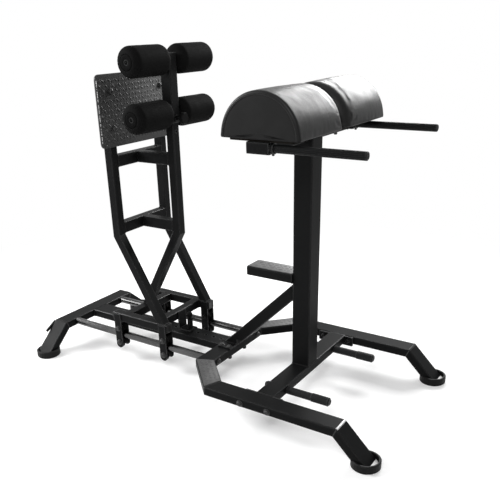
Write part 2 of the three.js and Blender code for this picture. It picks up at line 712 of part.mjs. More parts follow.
/** The half-round section of a pad, with small roundings along its two lower edges. */
function padRing(y, radius) {
  const arcSteps = 18;
  const points = [];
  const lift = Math.asin(PAD_BASE_ROUNDING / radius);
  points.push(at(PAD_X + radius - PAD_BASE_ROUNDING, y, PAD_BASE_Z));
  points.push(at(PAD_X + radius - PAD_BASE_ROUNDING / 4, y, PAD_BASE_Z + PAD_BASE_ROUNDING / 4));
  for (let k = 0; k <= arcSteps; k += 1) {
    const angle = lift + k / arcSteps * (Math.PI - 2 * lift);
    points.push(at(PAD_X + radius * Math.cos(angle), y, PAD_BASE_Z + radius * Math.sin(angle)));
  }
  points.push(at(PAD_X - radius + PAD_BASE_ROUNDING / 4, y, PAD_BASE_Z + PAD_BASE_ROUNDING / 4));
  points.push(at(PAD_X - radius + PAD_BASE_ROUNDING, y, PAD_BASE_Z));
  return points;
}

// Carriage bed: every x below is measured from the middle of the carriage

const bedOutline = tubeOutline(BED_TUBE, BED_TUBE, BED_CORNER);

function bedSideTube() {
  const half = CARRIAGE_LENGTH / 2;
  return tubeAlong(bedOutline, [at(-half, -TRACK_Y, bedMid), at(half, -TRACK_Y, bedMid)], Z);
}

function bedCrossTube(x) {
  const reach = bedSide - WELD_GAP;
  return tubeAlong(bedOutline, [at(x, -reach, bedMid), at(x, reach, bedMid)], Z);
}

const mastOutline = tubeOutline(MAST_TUBE, MAST_TUBE, MAST_CORNER);

/** A bent upright: vertical behind the foot plate, its leg sloping forward onto the side tube. */
function upright() {
  const foot = at(UPRIGHT_FOOT_OFFSET, -TRACK_Y, BED_TOP + WELD_GAP);
  const bend = at(UPRIGHT_OFFSET, -TRACK_Y, UPRIGHT_BEND_Z);
  const top = at(UPRIGHT_OFFSET, -TRACK_Y, UPRIGHT_TOP);
  return tubeAlong(mastOutline, [foot, bend, top], Y, { startCut: Z });
}

/** The centre post: vertical inside the sleeve, its leg sloping back onto the rear cross tube. */
function centrePost() {
  const foot = at(REAR_CROSS_OFFSET, 0, BED_TOP + WELD_GAP);
  const bend = at(MAST_OFFSET, 0, MAST_BEND_Z);
  const top = at(MAST_OFFSET, 0, MAST_TOP);
  const post = tubeAlong(mastOutline, [foot, bend, top], Y, { startCut: Z });
  const holes = [];
  for (let k = -PIN_HOLES_BELOW; k <= PIN_HOLES_ABOVE; k += 1) {
    const hole = rod(PIN_HOLE_RADIUS, PIN_HOLE_DEPTH + CUT_OVERRUN, SMALL_STEPS, X);
    holes.push(moved(hole, MAST_OFFSET + mastFront - PIN_HOLE_DEPTH, 0, pinZ + k * PIN_PITCH));
  }
  return cut(post, ...holes);
}

/** A T of two tubes: one between the uprights, one forward to the centre post. */
function mastBrace(z) {
  const crossOutline = tubeOutline(MAST_TUBE, MAST_BRACE_HEIGHT, MAST_CORNER);
  const reach = TRACK_Y - MAST_TUBE / 2 - WELD_GAP;
  const cross = tubeAlong(crossOutline, [at(UPRIGHT_OFFSET, -reach, z), at(UPRIGHT_OFFSET, reach, z)], Z);
  const tip = MAST_OFFSET - MAST_TUBE / 2 - WELD_GAP;
  const stem = tubeAlong(crossOutline, [at(UPRIGHT_OFFSET, 0, z), at(tip, 0, z)], Z);
  return fuse(cross, stem);
}

/** The tread plate on the uprights, with its four bolts. */
function footPlate() {
  const shape = roundedShape(2 * PLATE_HALF_WIDTH, PLATE_TOP - PLATE_BOTTOM, PLATE_CORNER);
  const sheet = moved(plate(shape, PLATE_THICKNESS, X), plateBack, 0, (PLATE_TOP + PLATE_BOTTOM) / 2);
  const places = bothSides.flatMap((side) => [PLATE_BOLT_LOW_Z, PLATE_BOLT_HIGH_Z].map((z) => (
    at(plateFront, side * PLATE_BOLT_Y, z))));
  return fuse(sheet, ...places.map((place) => bolt(X, 1, place)));
}

/**
 * A roller bracket in its own frame, centred on the guide rod: an outer and an inner plate lapped on the side
 * tube, tied by the axle bolts of the upper and the lower roller.
 */
function rollerBracket() {
  const half = BRACKET_WIDTH / 2;
  const low = BRACKET_BOTTOM + BRACKET_ROUNDING;
  const shape = new THREE.Shape();
  shape.moveTo(half, BRACKET_TOP);
  shape.lineTo(-half, BRACKET_TOP);
  shape.lineTo(-half, low);
  shape.absarc(-half + BRACKET_ROUNDING, low, BRACKET_ROUNDING, Math.PI, 3 * Math.PI / 2);
  shape.absarc(half - BRACKET_ROUNDING, low, BRACKET_ROUNDING, 3 * Math.PI / 2, 2 * Math.PI);
  const sheet = plate(shape, BRACKET_THICKNESS, Y);
  const inner = BED_TUBE / 2 + WELD_GAP;
  const bolts = bothSides.map((level) => moved(rollerBolt(), 0, 0, ROD_Z + level * rollerRise));
  return fuse(moved(sheet, 0, inner, 0), moved(sheet, 0, -inner - BRACKET_THICKNESS, 0), ...bolts);
}

/** A roller's axle bolt along Y, from its head outside the outer plate to its nut inside the inner one. */
function rollerBolt() {
  const reach = BED_TUBE / 2 + WELD_GAP + BRACKET_THICKNESS;
  const shank = turned([
    [0, -reach], [ROLLER_BOLT_RADIUS, -reach], [ROLLER_BOLT_RADIUS, reach], [0, reach],
  ], SMALL_STEPS, Y);
  return fuse(shank, bolt(Y, -1, at(0, -reach, 0)), nut(Y, 1, at(0, reach, 0)));
}

/** A grooved roller on its axle line along Y, the groove concentric with the guide rod. */
function guideRoller() {
  const half = ROLLER_WIDTH / 2;
  const hubHalf = BED_TUBE / 2;
  const bore = ROLLER_BOLT_RADIUS + BORE_GAP;
  const centre = ROLLER_CORE_RADIUS + ROLLER_GROOVE_RADIUS;
  const lip = Math.sqrt(ROLLER_GROOVE_RADIUS ** 2 - (centre - ROLLER_RADIUS) ** 2);
  const profile = [[bore, -hubHalf], [ROLLER_HUB_RADIUS, -hubHalf], [ROLLER_HUB_RADIUS, -half], [ROLLER_RADIUS, -half]];
  const grooveSteps = 4;
  for (let k = 0; k <= grooveSteps; k += 1) {
    const along = lip * (2 * k / grooveSteps - 1);
    profile.push([centre - Math.sqrt(ROLLER_GROOVE_RADIUS ** 2 - along ** 2), along]);
  }
  profile.push([ROLLER_RADIUS, half], [ROLLER_HUB_RADIUS, half], [ROLLER_HUB_RADIUS, hubHalf], [bore, hubHalf]);
  profile.push([bore, -hubHalf]);
  return turned(profile, ROUND_STEPS, Y);
}

/** An angle on the front cross tube whose shelf carries the barrel of the lock pin. */
function lockBracket() {
  const back = FRONT_CROSS_OFFSET + BED_TUBE / 2 + WELD_GAP;
  const front = LOCK_OFFSET + LOCK_SHELF_AHEAD;
  const wallHeight = BED_TOP - LOCK_SHELF_Z;
  const wall = new THREE.BoxGeometry(LOCK_PLATE, 2 * LOCK_HALF_WIDTH, wallHeight);
  const shelf = new THREE.BoxGeometry(front - back, 2 * LOCK_HALF_WIDTH, LOCK_PLATE);
  const barrel = rod(LOCK_BARREL_RADIUS, LOCK_BARREL_TOP - LOCK_SHELF_Z, ROUND_STEPS, Z);
  const bore = rod(LOCK_PIN_RADIUS + BORE_GAP, LOCK_BARREL_TOP - LOCK_SHELF_Z + 2 * CUT_OVERRUN, ROUND_STEPS, Z);
  return cut(
    fuse(
      moved(wall, back + LOCK_PLATE / 2, 0, LOCK_SHELF_Z + wallHeight / 2),
      moved(shelf, (front + back) / 2, 0, LOCK_SHELF_Z + LOCK_PLATE / 2),
      moved(barrel, LOCK_OFFSET, 0, LOCK_SHELF_Z),
    ),
    moved(bore, LOCK_OFFSET, 0, LOCK_SHELF_Z - CUT_OVERRUN),
  );
}

/** The sprung lock pin with its ball knob, its tip just over the spine. */
function lockPin() {
  const seat = LOCK_BARREL_TOP + WELD_GAP;
  const profile = [
    [0, BASE_TOP + WELD_GAP],
    [LOCK_PIN_RADIUS, BASE_TOP + WELD_GAP],
    [LOCK_PIN_RADIUS, seat],
    [LOCK_BARREL_RADIUS, seat],
    [LOCK_BARREL_RADIUS, seat + LOCK_PLATE],
    [LOCK_NECK_RADIUS, seat + LOCK_PLATE],
  ];
  const ballSteps = 6;
  const start = Math.asin(LOCK_NECK_RADIUS / LOCK_BALL_RADIUS);
  for (let k = 0; k < ballSteps; k += 1) {
    const angle = start + (Math.PI - start) * k / ballSteps;
    profile.push([LOCK_BALL_RADIUS * Math.sin(angle), LOCK_BALL_Z - LOCK_BALL_RADIUS * Math.cos(angle)]);
  }
  profile.push([0, LOCK_BALL_Z + LOCK_BALL_RADIUS]);
  return turned(profile, ROUND_STEPS, Z);
}

// Sleeve on the centre post: x and y are measured from the post's axis

/** The square sleeve with a welded lid, four welded axle stubs and the barrel of its pull pin. */
function postSleeve() {
  const outer = tubeOutline(SLEEVE_TUBE, SLEEVE_TUBE, SLEEVE_CORNER);
  const boreSize = MAST_TUBE + 2 * SLEEVE_BORE_GAP;
  const inner = tubeOutline(boreSize, boreSize, MAST_CORNER);
  const tube = tubeAlong(outer, [at(0, 0, SLEEVE_BOTTOM), at(0, 0, sleeveTop)], Y);
  const hollow = tubeAlong(inner, [at(0, 0, SLEEVE_BOTTOM - CUT_OVERRUN), at(0, 0, sleeveTop - SLEEVE_LID)], Y);
  const wall = (SLEEVE_TUBE - boreSize) / 2;
  const barrel = rod(PIN_BARREL_RADIUS, PIN_BARREL_LENGTH + wall / 2, SMALL_STEPS, X);
  const bore = rod(PIN_HOLE_RADIUS, PIN_BARREL_LENGTH + wall + 2 * CUT_OVERRUN, SMALL_STEPS, X);
  return cut(
    fuse(cut(tube, hollow), moved(barrel, sleeveFront - wall / 2, 0, pinZ), ...axleStubs()),
    moved(bore, sleeveFront - wall - CUT_OVERRUN, 0, pinZ),
  );
}

/** The pull pin and its round knob, the tip just clear of the centre post. */
function heightPin() {
  const tip = mastFront + SLEEVE_BORE_GAP;
  const seat = sleeveFront + PIN_BARREL_LENGTH + WELD_GAP;
  const knobEnd = seat + KNOB_LENGTH;
  return turned([
    [0, tip],
    [PIN_RADIUS, tip],
    [PIN_RADIUS, seat],
    [PIN_BARREL_RADIUS, seat],
    [KNOB_RADIUS * 2 / 3, seat + KNOB_LENGTH / 5],
    [KNOB_RADIUS, seat + KNOB_LENGTH * 2 / 5],
    [KNOB_RADIUS, knobEnd - KNOB_LENGTH / 6],
    [KNOB_RADIUS * 7 / 8, knobEnd],
    [0, knobEnd],
  ], ROUND_STEPS, X);
}

/** The four axle stubs, each with a flat washer and an open tube end inside the roller's hub recess. */
function axleStubs() {
  const start = sleeveFront - BOLT_SEAT;
  const end = FOAM_OUTER_Y - FOAM_HUB_RECESS + WELD_GAP;
  const tip = end + AXLE_CAP_LENGTH;
  const stub = turned([
    [0, start],
    [AXLE_RADIUS, start],
    [AXLE_RADIUS, end],
    [AXLE_CAP_RADIUS, end],
    [AXLE_CAP_RADIUS, tip],
    [AXLE_HOLE_RADIUS, tip],
    [AXLE_HOLE_RADIUS, tip - AXLE_HOLE_DEPTH],
    [0, tip - AXLE_HOLE_DEPTH],
  ], SMALL_STEPS, Y);
  return [upperAxleZ, lowerAxleZ].flatMap((z) => [
    moved(stub, 0, 0, z), moved(mirrored(stub), 0, 0, z),
  ]);
}

/** A foam roller on its bore, both ends rounded, with the hub disc let into its outer end. */
function foamRoller() {
  const bore = AXLE_RADIUS + BORE_GAP;
  const profile = [[bore, FOAM_INNER_Y], [FOAM_RADIUS - FOAM_ROUNDING, FOAM_INNER_Y]];
  const roundingSteps = 4;
  for (let k = 1; k <= roundingSteps; k += 1) {
    const angle = k / roundingSteps * Math.PI / 2;
    profile.push([
      FOAM_RADIUS - FOAM_ROUNDING * (1 - Math.sin(angle)),
      FOAM_INNER_Y + FOAM_ROUNDING * (1 - Math.cos(angle)),
    ]);
  }
  for (let k = roundingSteps; k >= 0; k -= 1) {
    const angle = k / roundingSteps * Math.PI / 2;
    profile.push([
      FOAM_RADIUS - FOAM_ROUNDING * (1 - Math.sin(angle)),
      FOAM_OUTER_Y - FOAM_ROUNDING * (1 - Math.cos(angle)),
    ]);
  }
  profile.push([FOAM_HUB_RADIUS, FOAM_OUTER_Y]);
  profile.push([FOAM_HUB_RADIUS, FOAM_OUTER_Y - FOAM_HUB_RECESS]);
  profile.push([bore, FOAM_OUTER_Y - FOAM_HUB_RECESS]);
  profile.push([bore, FOAM_INNER_Y]);
  return turned(profile, WIDE_STEPS, Y).rotateZ(Math.PI);
}

// Assembly: the floor frame holds the carriage, and the carriage holds the sleeve

function add(group, name, geometry, material, position = at(0, 0, 0)) {
  const mesh = new THREE.Mesh(geometry, material());
  mesh.name = name;
  mesh.position.copy(position);
  group.add(mesh);
}

function addPair(group, name, geometry, material, position = at(0, 0, 0)) {
  add(group, `${name}_near`, geometry, material, position);
  add(group, `${name}_far`, mirrored(geometry), material, position.clone().multiply(at(1, -1, 1)));
}

function buildFloorFrame() {
  const frame = new THREE.Group();
  add(frame, 'rear_cross_tube', rearCrossTube(), blackCoat);
  addPair(frame, 'rear_leg', legTube(uprightTube, rearBend, rearLanding, X, rearMitre), blackCoat);
  addPair(frame, 'rear_foot', rearFoot(), blackRubber, at(rearTubeX, -REAR_FOOT_Y, 0));
  add(frame, 'spine_tube', spineTube(), blackCoat);
  const rodLength = spineFrontX - spineRearX;
  addPair(frame, 'guide_rod', rod(ROD_RADIUS, rodLength, ROUND_STEPS, X), chrome, at(spineRearX, -TRACK_Y, ROD_Z));
  add(frame, 'back_cross_tube', backCrossTube(), blackCoat);
  addPair(frame, 'corner_tube', cornerTube(), blackCoat);
  addPair(frame, 'base_rail', baseRail(), blackCoat);
  addPair(frame, 'front_leg', legTube(uprightTube, nearCorners.bend, nearCorners.foot, Y, legMitre), blackCoat);
  addPair(frame, 'front_foot', frontFoot(), blackRubber, at(frontFootX, -RAIL_Y, 0));
  add(frame, 'front_cross_tube', frontCrossTube(), blackCoat);
  const pegStart = POST_X + BASE_TUBE_WIDTH / 2 + WELD_GAP;
  addPair(frame, 'band_peg', bandPeg(), darkSteel, at(pegStart, -pegY, PEG_Z));
  add(frame, 'front_post', frontPost(), blackCoat);
  add(frame, 'post_brace', postBrace(), blackCoat);
  add(frame, 'step_tube', stepTube(), blackCoat);
  addPair(frame, 'pad_cradle', cradleSide(), blackCoat);
  addPair(frame, 'hand_grip', handGrip(), blackCoat);
  add(frame, 'pad_board', padBoard(), plywood);
  addPair(frame, 'hip_pad', hipPad(), blackVinyl);
  return frame;
}

function buildCarriage() {
  const carriage = new THREE.Group();
  carriage.position.x = CARRIAGE_X;
  addPair(carriage, 'bed_side_tube', bedSideTube(), blackCoat);
  add(carriage, 'bed_rear_cross', bedCrossTube(REAR_CROSS_OFFSET), blackCoat);
  add(carriage, 'bed_front_cross', bedCrossTube(FRONT_CROSS_OFFSET), blackCoat);
  addPair(carriage, 'upright', upright(), blackCoat);
  add(carriage, 'centre_post', centrePost(), blackCoat);
  add(carriage, 'lower_mast_brace', mastBrace(LOWER_BRACE_Z), blackCoat);
  add(carriage, 'upper_mast_brace', mastBrace(UPPER_BRACE_Z), blackCoat);
  add(carriage, 'foot_plate', footPlate(), treadPlate);
  add(carriage, 'lock_bracket', lockBracket(), blackCoat);
  add(carriage, 'lock_pin', lockPin(), blackPlastic, at(LOCK_OFFSET, 0, 0));
  const bracket = rollerBracket();
  const roller = guideRoller();
  for (const [offset, endName] of [[bracketRearOffset, 'rear'], [bracketFrontOffset, 'front']]) {
    addPair(carriage, `roller_bracket_${endName}`, bracket, blackCoat, at(offset, -TRACK_Y, 0));
    for (const [level, levelName] of [[1, 'upper'], [-1, 'lower']]) {
      const place = at(offset, -TRACK_Y, ROD_Z + level * rollerRise);
      addPair(carriage, `guide_roller_${endName}_${levelName}`, roller, blackPlastic, place);
    }
  }
  return carriage;
}

function buildSleeve() {
  const sleeve = new THREE.Group();
  sleeve.position.x = MAST_OFFSET;
  add(sleeve, 'post_sleeve', postSleeve(), blackCoat);
  add(sleeve, 'height_pin', heightPin(), blackPlastic, at(0, 0, pinZ));
  const roller = foamRoller();
  addPair(sleeve, 'foam_roller_upper', roller, blackFoam, at(0, 0, upperAxleZ));
  addPair(sleeve, 'foam_roller_lower', roller, blackFoam, at(0, 0, lowerAxleZ));
  return sleeve;
}

const part = buildFloorFrame();
const carriage = buildCarriage();
carriage.add(buildSleeve());
part.add(carriage);

export default part;
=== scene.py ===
# %% [markdown]
# # A glute ham developer, dressed
# The frame, its rods, its carriage and every size come packed from the CAD model. This file adds what a
# maker adds after the welding: powder coat, chrome, vinyl over firm foam, tread plates, welds, bolts and
# end caps. Each step is a cell of its own, with a few words before it on what is made and why it is made
# that way.

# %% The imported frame
import json
import math
import bmesh
import bpy
from mathutils import Matrix, Vector, noise


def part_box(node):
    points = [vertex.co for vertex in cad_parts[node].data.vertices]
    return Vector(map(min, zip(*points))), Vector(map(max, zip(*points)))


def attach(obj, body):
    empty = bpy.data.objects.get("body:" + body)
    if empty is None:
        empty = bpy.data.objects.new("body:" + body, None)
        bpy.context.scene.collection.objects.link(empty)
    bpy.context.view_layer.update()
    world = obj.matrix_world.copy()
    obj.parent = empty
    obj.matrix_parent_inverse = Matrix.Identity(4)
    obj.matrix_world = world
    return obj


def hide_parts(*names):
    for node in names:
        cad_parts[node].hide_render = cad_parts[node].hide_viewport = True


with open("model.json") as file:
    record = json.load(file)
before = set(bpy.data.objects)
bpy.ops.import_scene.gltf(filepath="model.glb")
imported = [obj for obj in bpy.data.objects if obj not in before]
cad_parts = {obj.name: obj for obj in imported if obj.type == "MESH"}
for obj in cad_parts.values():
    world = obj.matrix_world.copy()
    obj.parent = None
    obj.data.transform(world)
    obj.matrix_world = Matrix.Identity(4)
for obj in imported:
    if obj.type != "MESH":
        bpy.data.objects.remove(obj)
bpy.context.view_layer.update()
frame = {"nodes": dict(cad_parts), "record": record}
nodes = frame["nodes"]

# %% [markdown]
# ## The camera
# The camera stands where the photographer stood. Its place and its turn were solved from the tube corners,
# and the lens and the shift come from the same solution, so no piece has to be bent to fit the picture.

# %% Camera
CAMERA_PLACE = Vector((1.5692, -2.2130, 1.4509))
CAMERA_YAW, CAMERA_PITCH, CAMERA_ROLL = math.radians(124.447), math.radians(-24.48), math.radians(-1.74)
FOCAL_PIXELS, FRAME_PIXELS, SENSOR_WIDTH = 652.009, 500, 36
PRINCIPAL_X, PRINCIPAL_Y = 236.171, 325.656

lens = bpy.data.cameras.new("camera")
lens.sensor_width = SENSOR_WIDTH
lens.lens = SENSOR_WIDTH * FOCAL_PIXELS / FRAME_PIXELS
lens.shift_x = 0.5 - PRINCIPAL_X / FRAME_PIXELS
lens.shift_y = PRINCIPAL_Y / FRAME_PIXELS - 0.5
camera = bpy.data.objects.new("camera", lens)
bpy.context.scene.collection.objects.link(camera)
ahead = Vector((math.cos(CAMERA_PITCH) * math.cos(CAMERA_YAW), math.cos(CAMERA_PITCH) * math.sin(CAMERA_YAW),
                math.sin(CAMERA_PITCH)))
level = Vector((math.sin(CAMERA_YAW), -math.cos(CAMERA_YAW), 0))
upward = level.cross(ahead)
right = math.cos(CAMERA_ROLL) * level + math.sin(CAMERA_ROLL) * upward
up = math.cos(CAMERA_ROLL) * upward - math.sin(CAMERA_ROLL) * level
turn = Matrix((right, up, -ahead)).transposed()
camera.matrix_world = Matrix.Translation(CAMERA_PLACE) @ turn.to_4x4()
bpy.context.scene.camera = camera
print("lens", round(lens.lens, 2), "mm, shift", round(lens.shift_x, 4), round(lens.shift_y, 4))

# %% [markdown]
# ## Writing finishes as sums
# A procedural finish is a small sum: a base value, plus cloudiness, plus a bit at the edges. Wiring it by
# hand hides that sum, so `Value` wraps a socket and lets Python's own signs add the Math nodes. `Nodes`
# holds a node tree, and its `node` method makes any node from its type, its settings and the values of its
# inputs. `Finish` is the tree of one material, with the helpers that several finishes share.

# %% Shader helpers
class Value:
    """A socket in a node tree. Signs between it and numbers or other values add Math nodes."""

    def __init__(self, nodes, socket):
        self.nodes = nodes
        self.socket = socket

    def _math(self, operation, *values):
        return self.nodes.node("ShaderNodeMath", {"operation": operation}, dict(enumerate(values)))

    def __add__(self, other):
        return self._math("ADD", self, other)

    def __sub__(self, other):
        return self._math("SUBTRACT", self, other)

    def __rsub__(self, other):
        return self._math("SUBTRACT", other, self)

    def __mul__(self, other):
        return self._math("MULTIPLY", self, other)

    def larger(self, other):
        """The larger of this value and another."""
        return self._math("MAXIMUM", self, other)

    __radd__ = __add__
    __rmul__ = __mul__


class Nodes:
    """A node tree, with one method that makes any node in it."""

    def __init__(self, tree):
        self.tree = tree

    def node(self, kind, settings=None, inputs=None, output=0):
        """A new node of a kind; its settings come first, then its inputs, and one output is handed back."""
        made = self.tree.nodes.new(kind)
        for key, value in (settings or {}).items():
            if key == "stops":
                self._stops(made.color_ramp, value)
            else:
                setattr(made, key, value)
        for key, value in (inputs or {}).items():
            if isinstance(value, Value):
                self.tree.links.new(value.socket, made.inputs[key])
            else:
                made.inputs[key].default_value = value
        return Value(self, made.outputs[output])

    @staticmethod
    def _stops(ramp, stops):
        while len(ramp.elements) < len(stops):
            ramp.elements.new(1)
        for element, (position, grey) in zip(ramp.elements, stops):
            element.position = position
            element.color = (grey, grey, grey, 1)

    def show(self, surface, end):
        """Sends a shader to the tree's last node."""
        self.tree.links.new(surface.socket, self.tree.nodes[end].inputs["Surface"])


class Finish(Nodes):
    """A material under its Principled shader, with helpers for the nodes that feed it."""

    def __init__(self, name, uniform):
        self.material = bpy.data.materials.new(name)
        self.material.use_nodes = True
        super().__init__(self.material.node_tree)
        self.shader = self.tree.nodes["Principled BSDF"]
        for socket, value in uniform.items():
            self.shader.inputs[socket].default_value = value

    def feed(self, socket, value):
        """Links a value to one of the shader's inputs."""
        self.tree.links.new(value.socket, self.shader.inputs[socket])

    def place(self):
        """The point on the piece in metres, the same in every pose."""
        return self.node("ShaderNodeTexCoord", output="Object")

    def stretched(self, x, y, z):
        """The point with its three axes scaled, for a grain that runs one way."""
        return self.node("ShaderNodeVectorMath", {"operation": "MULTIPLY"}, {0: self.place(), 1: (x, y, z)})

    def cloud(self, scale, detail=2.0, where=None):
        """Soft noise round one half, with this many cells in a metre."""
        return self.node("ShaderNodeTexNoise", inputs={
            "Vector": where or self.place(), "Scale": scale, "Detail": detail}, output="Fac")

    def cells(self, scale, where=None):
        """Distance from the middle of each cell of a loose honeycomb."""
        return self.node("ShaderNodeTexVoronoi", inputs={"Vector": where or self.place(), "Scale": scale})

    def ramp(self, value, *stops):
        """The value led through grey stops of (position, grey)."""
        return self.node("ShaderNodeValToRGB", {"stops": stops}, {"Fac": value})

    def edge(self, radius):
        """0 on flat metal, rising where two faces meet within the radius."""
        bent = self.node("ShaderNodeBevel", {"samples": 4}, {"Radius": radius})
        flat = self.node("ShaderNodeNewGeometry", output="Normal")
        same = self.node("ShaderNodeVectorMath", {"operation": "DOT_PRODUCT"}, {0: bent, 1: flat}, "Value")
        return 1 - same

    def blend(self, share, low, high):
        """A colour from low to high by the share."""
        return self.node("ShaderNodeMix", {"data_type": "RGBA"}, {0: share, 6: low, 7: high}, output=2)

    def relief(self, height, strength, depth):
        """A bump on the surface that follows the height."""
        self.feed("Normal", self.node("ShaderNodeBump", inputs={
            "Height": height, "Strength": strength, "Distance": depth}))


def grey(value, warm=0.0):
    """A near-neutral colour, a touch warmer or cooler."""
    return (value * (1 + warm), value, value * (1 - warm), 1)


print("helpers for finishes ready")

# %% [markdown]
# ## Powder coat
# The steel is powder coated in a satin black. Close to, such a coat has a fine orange peel and is a little
# cloudy in its gloss. Its edges are coloured lighter, partly worn by hands and shoes and partly a painted
# highlight. The peel is a bump from fine noise, the cloudiness moves the roughness, and the lighter edges
# come from comparing a rounded normal with the flat one. Where the tube bends round its long corners the
# powder flows thick and smooth, so a coat is laid there, which draws the thin bright lines along the tubes.

# %% Powder coat
ROLLED_EDGE, EDGE_WEAR_AND_HIGHLIGHT, PEEL_DEPTH = 0.007, 0.0025, 0.0004


def powder_coat(name, base, lighter_edge, roughness):
    coat = Finish(name, {"Specular IOR Level": 0.04, "Metallic": 0.0, "Coat Roughness": 0.3})
    drift = coat.cloud(7, 3)
    speck = coat.cloud(900, 2)
    # Painted highlight, partly real wear: the edges blend towards the lighter edge grey.
    wear_and_highlight = coat.ramp(coat.edge(EDGE_WEAR_AND_HIGHLIGHT) * 3 * (0.4 + drift), (0.15, 0), (0.9, 1))
    tone = coat.blend(drift * 0.6, grey(base, -0.03), grey(base * 1.5, -0.02))
    coat.feed("Base Color", coat.blend(wear_and_highlight * 0.7, tone, grey(lighter_edge, -0.01)))
    coat.feed("Roughness", roughness - 0.06 + drift * 0.14 + speck * 0.05)
    coat.feed("Coat Weight", coat.ramp(coat.edge(ROLLED_EDGE) * 8, (0.2, 0), (0.6, 0.8)))
    coat.relief(speck, 0.12, PEEL_DEPTH)
    return coat.material


black_coat = powder_coat("black_powder_coat", base=0.006, lighter_edge=0.05, roughness=0.4)
peg_coat = powder_coat("band_peg_coat", base=0.016, lighter_edge=0.08, roughness=0.34)
print("coats", black_coat.name, peg_coat.name)

# %% [markdown]
# ## Tread plate
# The foot plate, the step and the two corner treads are of raised-pattern plate in a dark grey that is
# lighter than the frame. The lugs themselves are real geometry, further down. The finish adds the mottling
# of a coat that has been stood on: soft blotches, fine grit and scuffs. Edges are coloured lighter, partly
# polish from soles and partly a painted highlight, and one patch of the foot plate is painted lighter as a
# pool of light.

# %% Tread coat
FACE_ONLY = 32  # stretches depth, so that the painted pool of light stays off the plate's back
# Painted light: a lighter pool on the foot plate, given by its middle and its reach.
LIGHT_POOL_MIDDLE, LIGHT_POOL_REACH = (-0.4296, 0.12, 1.21), 0.2


def tread_coat(name, base, light_pool=None):
    coat = Finish(name, {"Specular IOR Level": 0.35, "Metallic": 0.3})
    blotch = coat.cloud(24, 4)
    grit = coat.cloud(650, 3)
    scuff = coat.ramp(coat.cloud(90, 5), (0.5, 0), (0.75, 1))
    tone = coat.blend(blotch, grey(base * 0.7), grey(base * 1.35))
    # Painted pool of light: the plate's tone turns lighter near the middle.
    if light_pool:
        middle = (light_pool[0] * FACE_ONLY, *light_pool[1:])
        off = coat.node("ShaderNodeVectorMath", {"operation": "DISTANCE"},
                        {0: coat.stretched(FACE_ONLY, 1, 1), 1: middle}, "Value")
        tone = coat.blend(coat.ramp(off * (1 / LIGHT_POOL_REACH), (0.1, 1), (0.95, 0)), tone, grey(base * 4.4))
    # Scuffs, and lighter edges that are partly polish and partly a painted highlight.
    coat.feed("Base Color", coat.blend(scuff * 0.35 + coat.edge(0.0012) * 0.4, tone, grey(base * 2.2)))
    coat.feed("Roughness", 0.36 + blotch * 0.16 + grit * 0.1)
    coat.relief(grit + blotch * 0.5, 0.2, 0.0005)
    return coat.material


plate_tread = tread_coat("foot_plate_coat", base=0.026, light_pool=LIGHT_POOL_MIDDLE)
step_tread_coat = tread_coat("step_tread_coat", base=0.1)
corner_tread_coat = tread_coat("corner_tread_coat", base=0.056)
print("treads", plate_tread.name, step_tread_coat.name, corner_tread_coat.name)

# %% [markdown]
# ## Chrome
# The guide rods are ground and hard-chromed. Grinding leaves hair-fine rings round a rod, which stretch the
# reflections along it. Noise squeezed along X gives those rings to the roughness and to a faint bump.

# %% Chrome
chrome = Finish("rod_chrome", {"Metallic": 1.0, "Specular IOR Level": 0.5})
grind_rings = chrome.cloud(1, 2, chrome.stretched(2600, 30, 30))
haze = chrome.cloud(9, 3)
chrome.feed("Base Color", chrome.blend(haze, grey(0.045), grey(0.1)))
chrome.feed("Roughness", 0.14 + grind_rings * 0.06 + haze * 0.06)
chrome.relief(grind_rings, 0.05, 0.0002)
rod_chrome = chrome.material
print("chrome", rod_chrome.name)

# %% [markdown]
# ## Rubber and plastic
# The feet are moulded rubber, dull with a bloom of dust. Knobs, rollers, hubs and end caps are moulded
# plastic, smoother, with the faint waviness of a moulding and a fine spark-eroded grain.

# %% Rubber and plastic
def moulded(name, clean_and_dusty, roughness, grain, relief, gloss):
    stuff = Finish(name, {"Specular IOR Level": gloss})
    clean, dusty = clean_and_dusty
    bloom = stuff.cloud(14, 4)
    sparks = stuff.cloud(grain, 2)
    lighter_edge = stuff.edge(0.0015) * 0.8
    stuff.feed("Base Color", stuff.blend(bloom * 0.5 + lighter_edge, grey(clean), grey(dusty)))
    stuff.feed("Roughness", roughness + bloom * 0.12 + sparks * 0.04)
    stuff.relief(sparks + bloom, relief, 0.0004)
    return stuff.material


foot_rubber = moulded("foot_rubber", (0.005, 0.014), 0.42, grain=700, relief=0.15, gloss=0.1)
black_plastic = moulded("black_plastic", (0.004, 0.007), 0.42, grain=1100, relief=0.08, gloss=0.03)
hub_plastic = moulded("hub_plastic", (0.0025, 0.0045), 0.55, grain=1100, relief=0.1, gloss=0.02)
cap_plastic = moulded("cap_plastic", (0.012, 0.03), 0.34, grain=900, relief=0.1, gloss=0.15)
print("moulded", foot_rubber.name, black_plastic.name, hub_plastic.name, cap_plastic.name)

# %% [markdown]
# ## Foam
# The ankle rollers are closed-cell foam with a moulded skin. The skin is matte, finely pitted, and dents a
# little where ankles press. Small honeycomb cells give the pits, and slow noise gives the uneven sheen.

# %% Foam skin
foam = Finish("roller_foam", {"Specular IOR Level": 0.02})
pits = foam.cells(520)
press = foam.cloud(26, 3)
foam.feed("Base Color", foam.blend(press * 0.6 + pits * 0.2, grey(0.0038), grey(0.0095)))
foam.feed("Roughness", 0.62 + press * 0.2)
foam.relief(pits * 0.6 + press, 0.35, 0.0006)
foam_skin = foam.material
print("foam", foam_skin.name)

# %% [markdown]
# ## Vinyl
# The hip pads are covered in a glossy upholstery vinyl. Its grain is a network of tiny cells, almost lost
# in the gloss, and the cover is pulled tight, so broad soft waves run through its reflections. The end
# panels are of the same vinyl with a flatter face that catches little light.

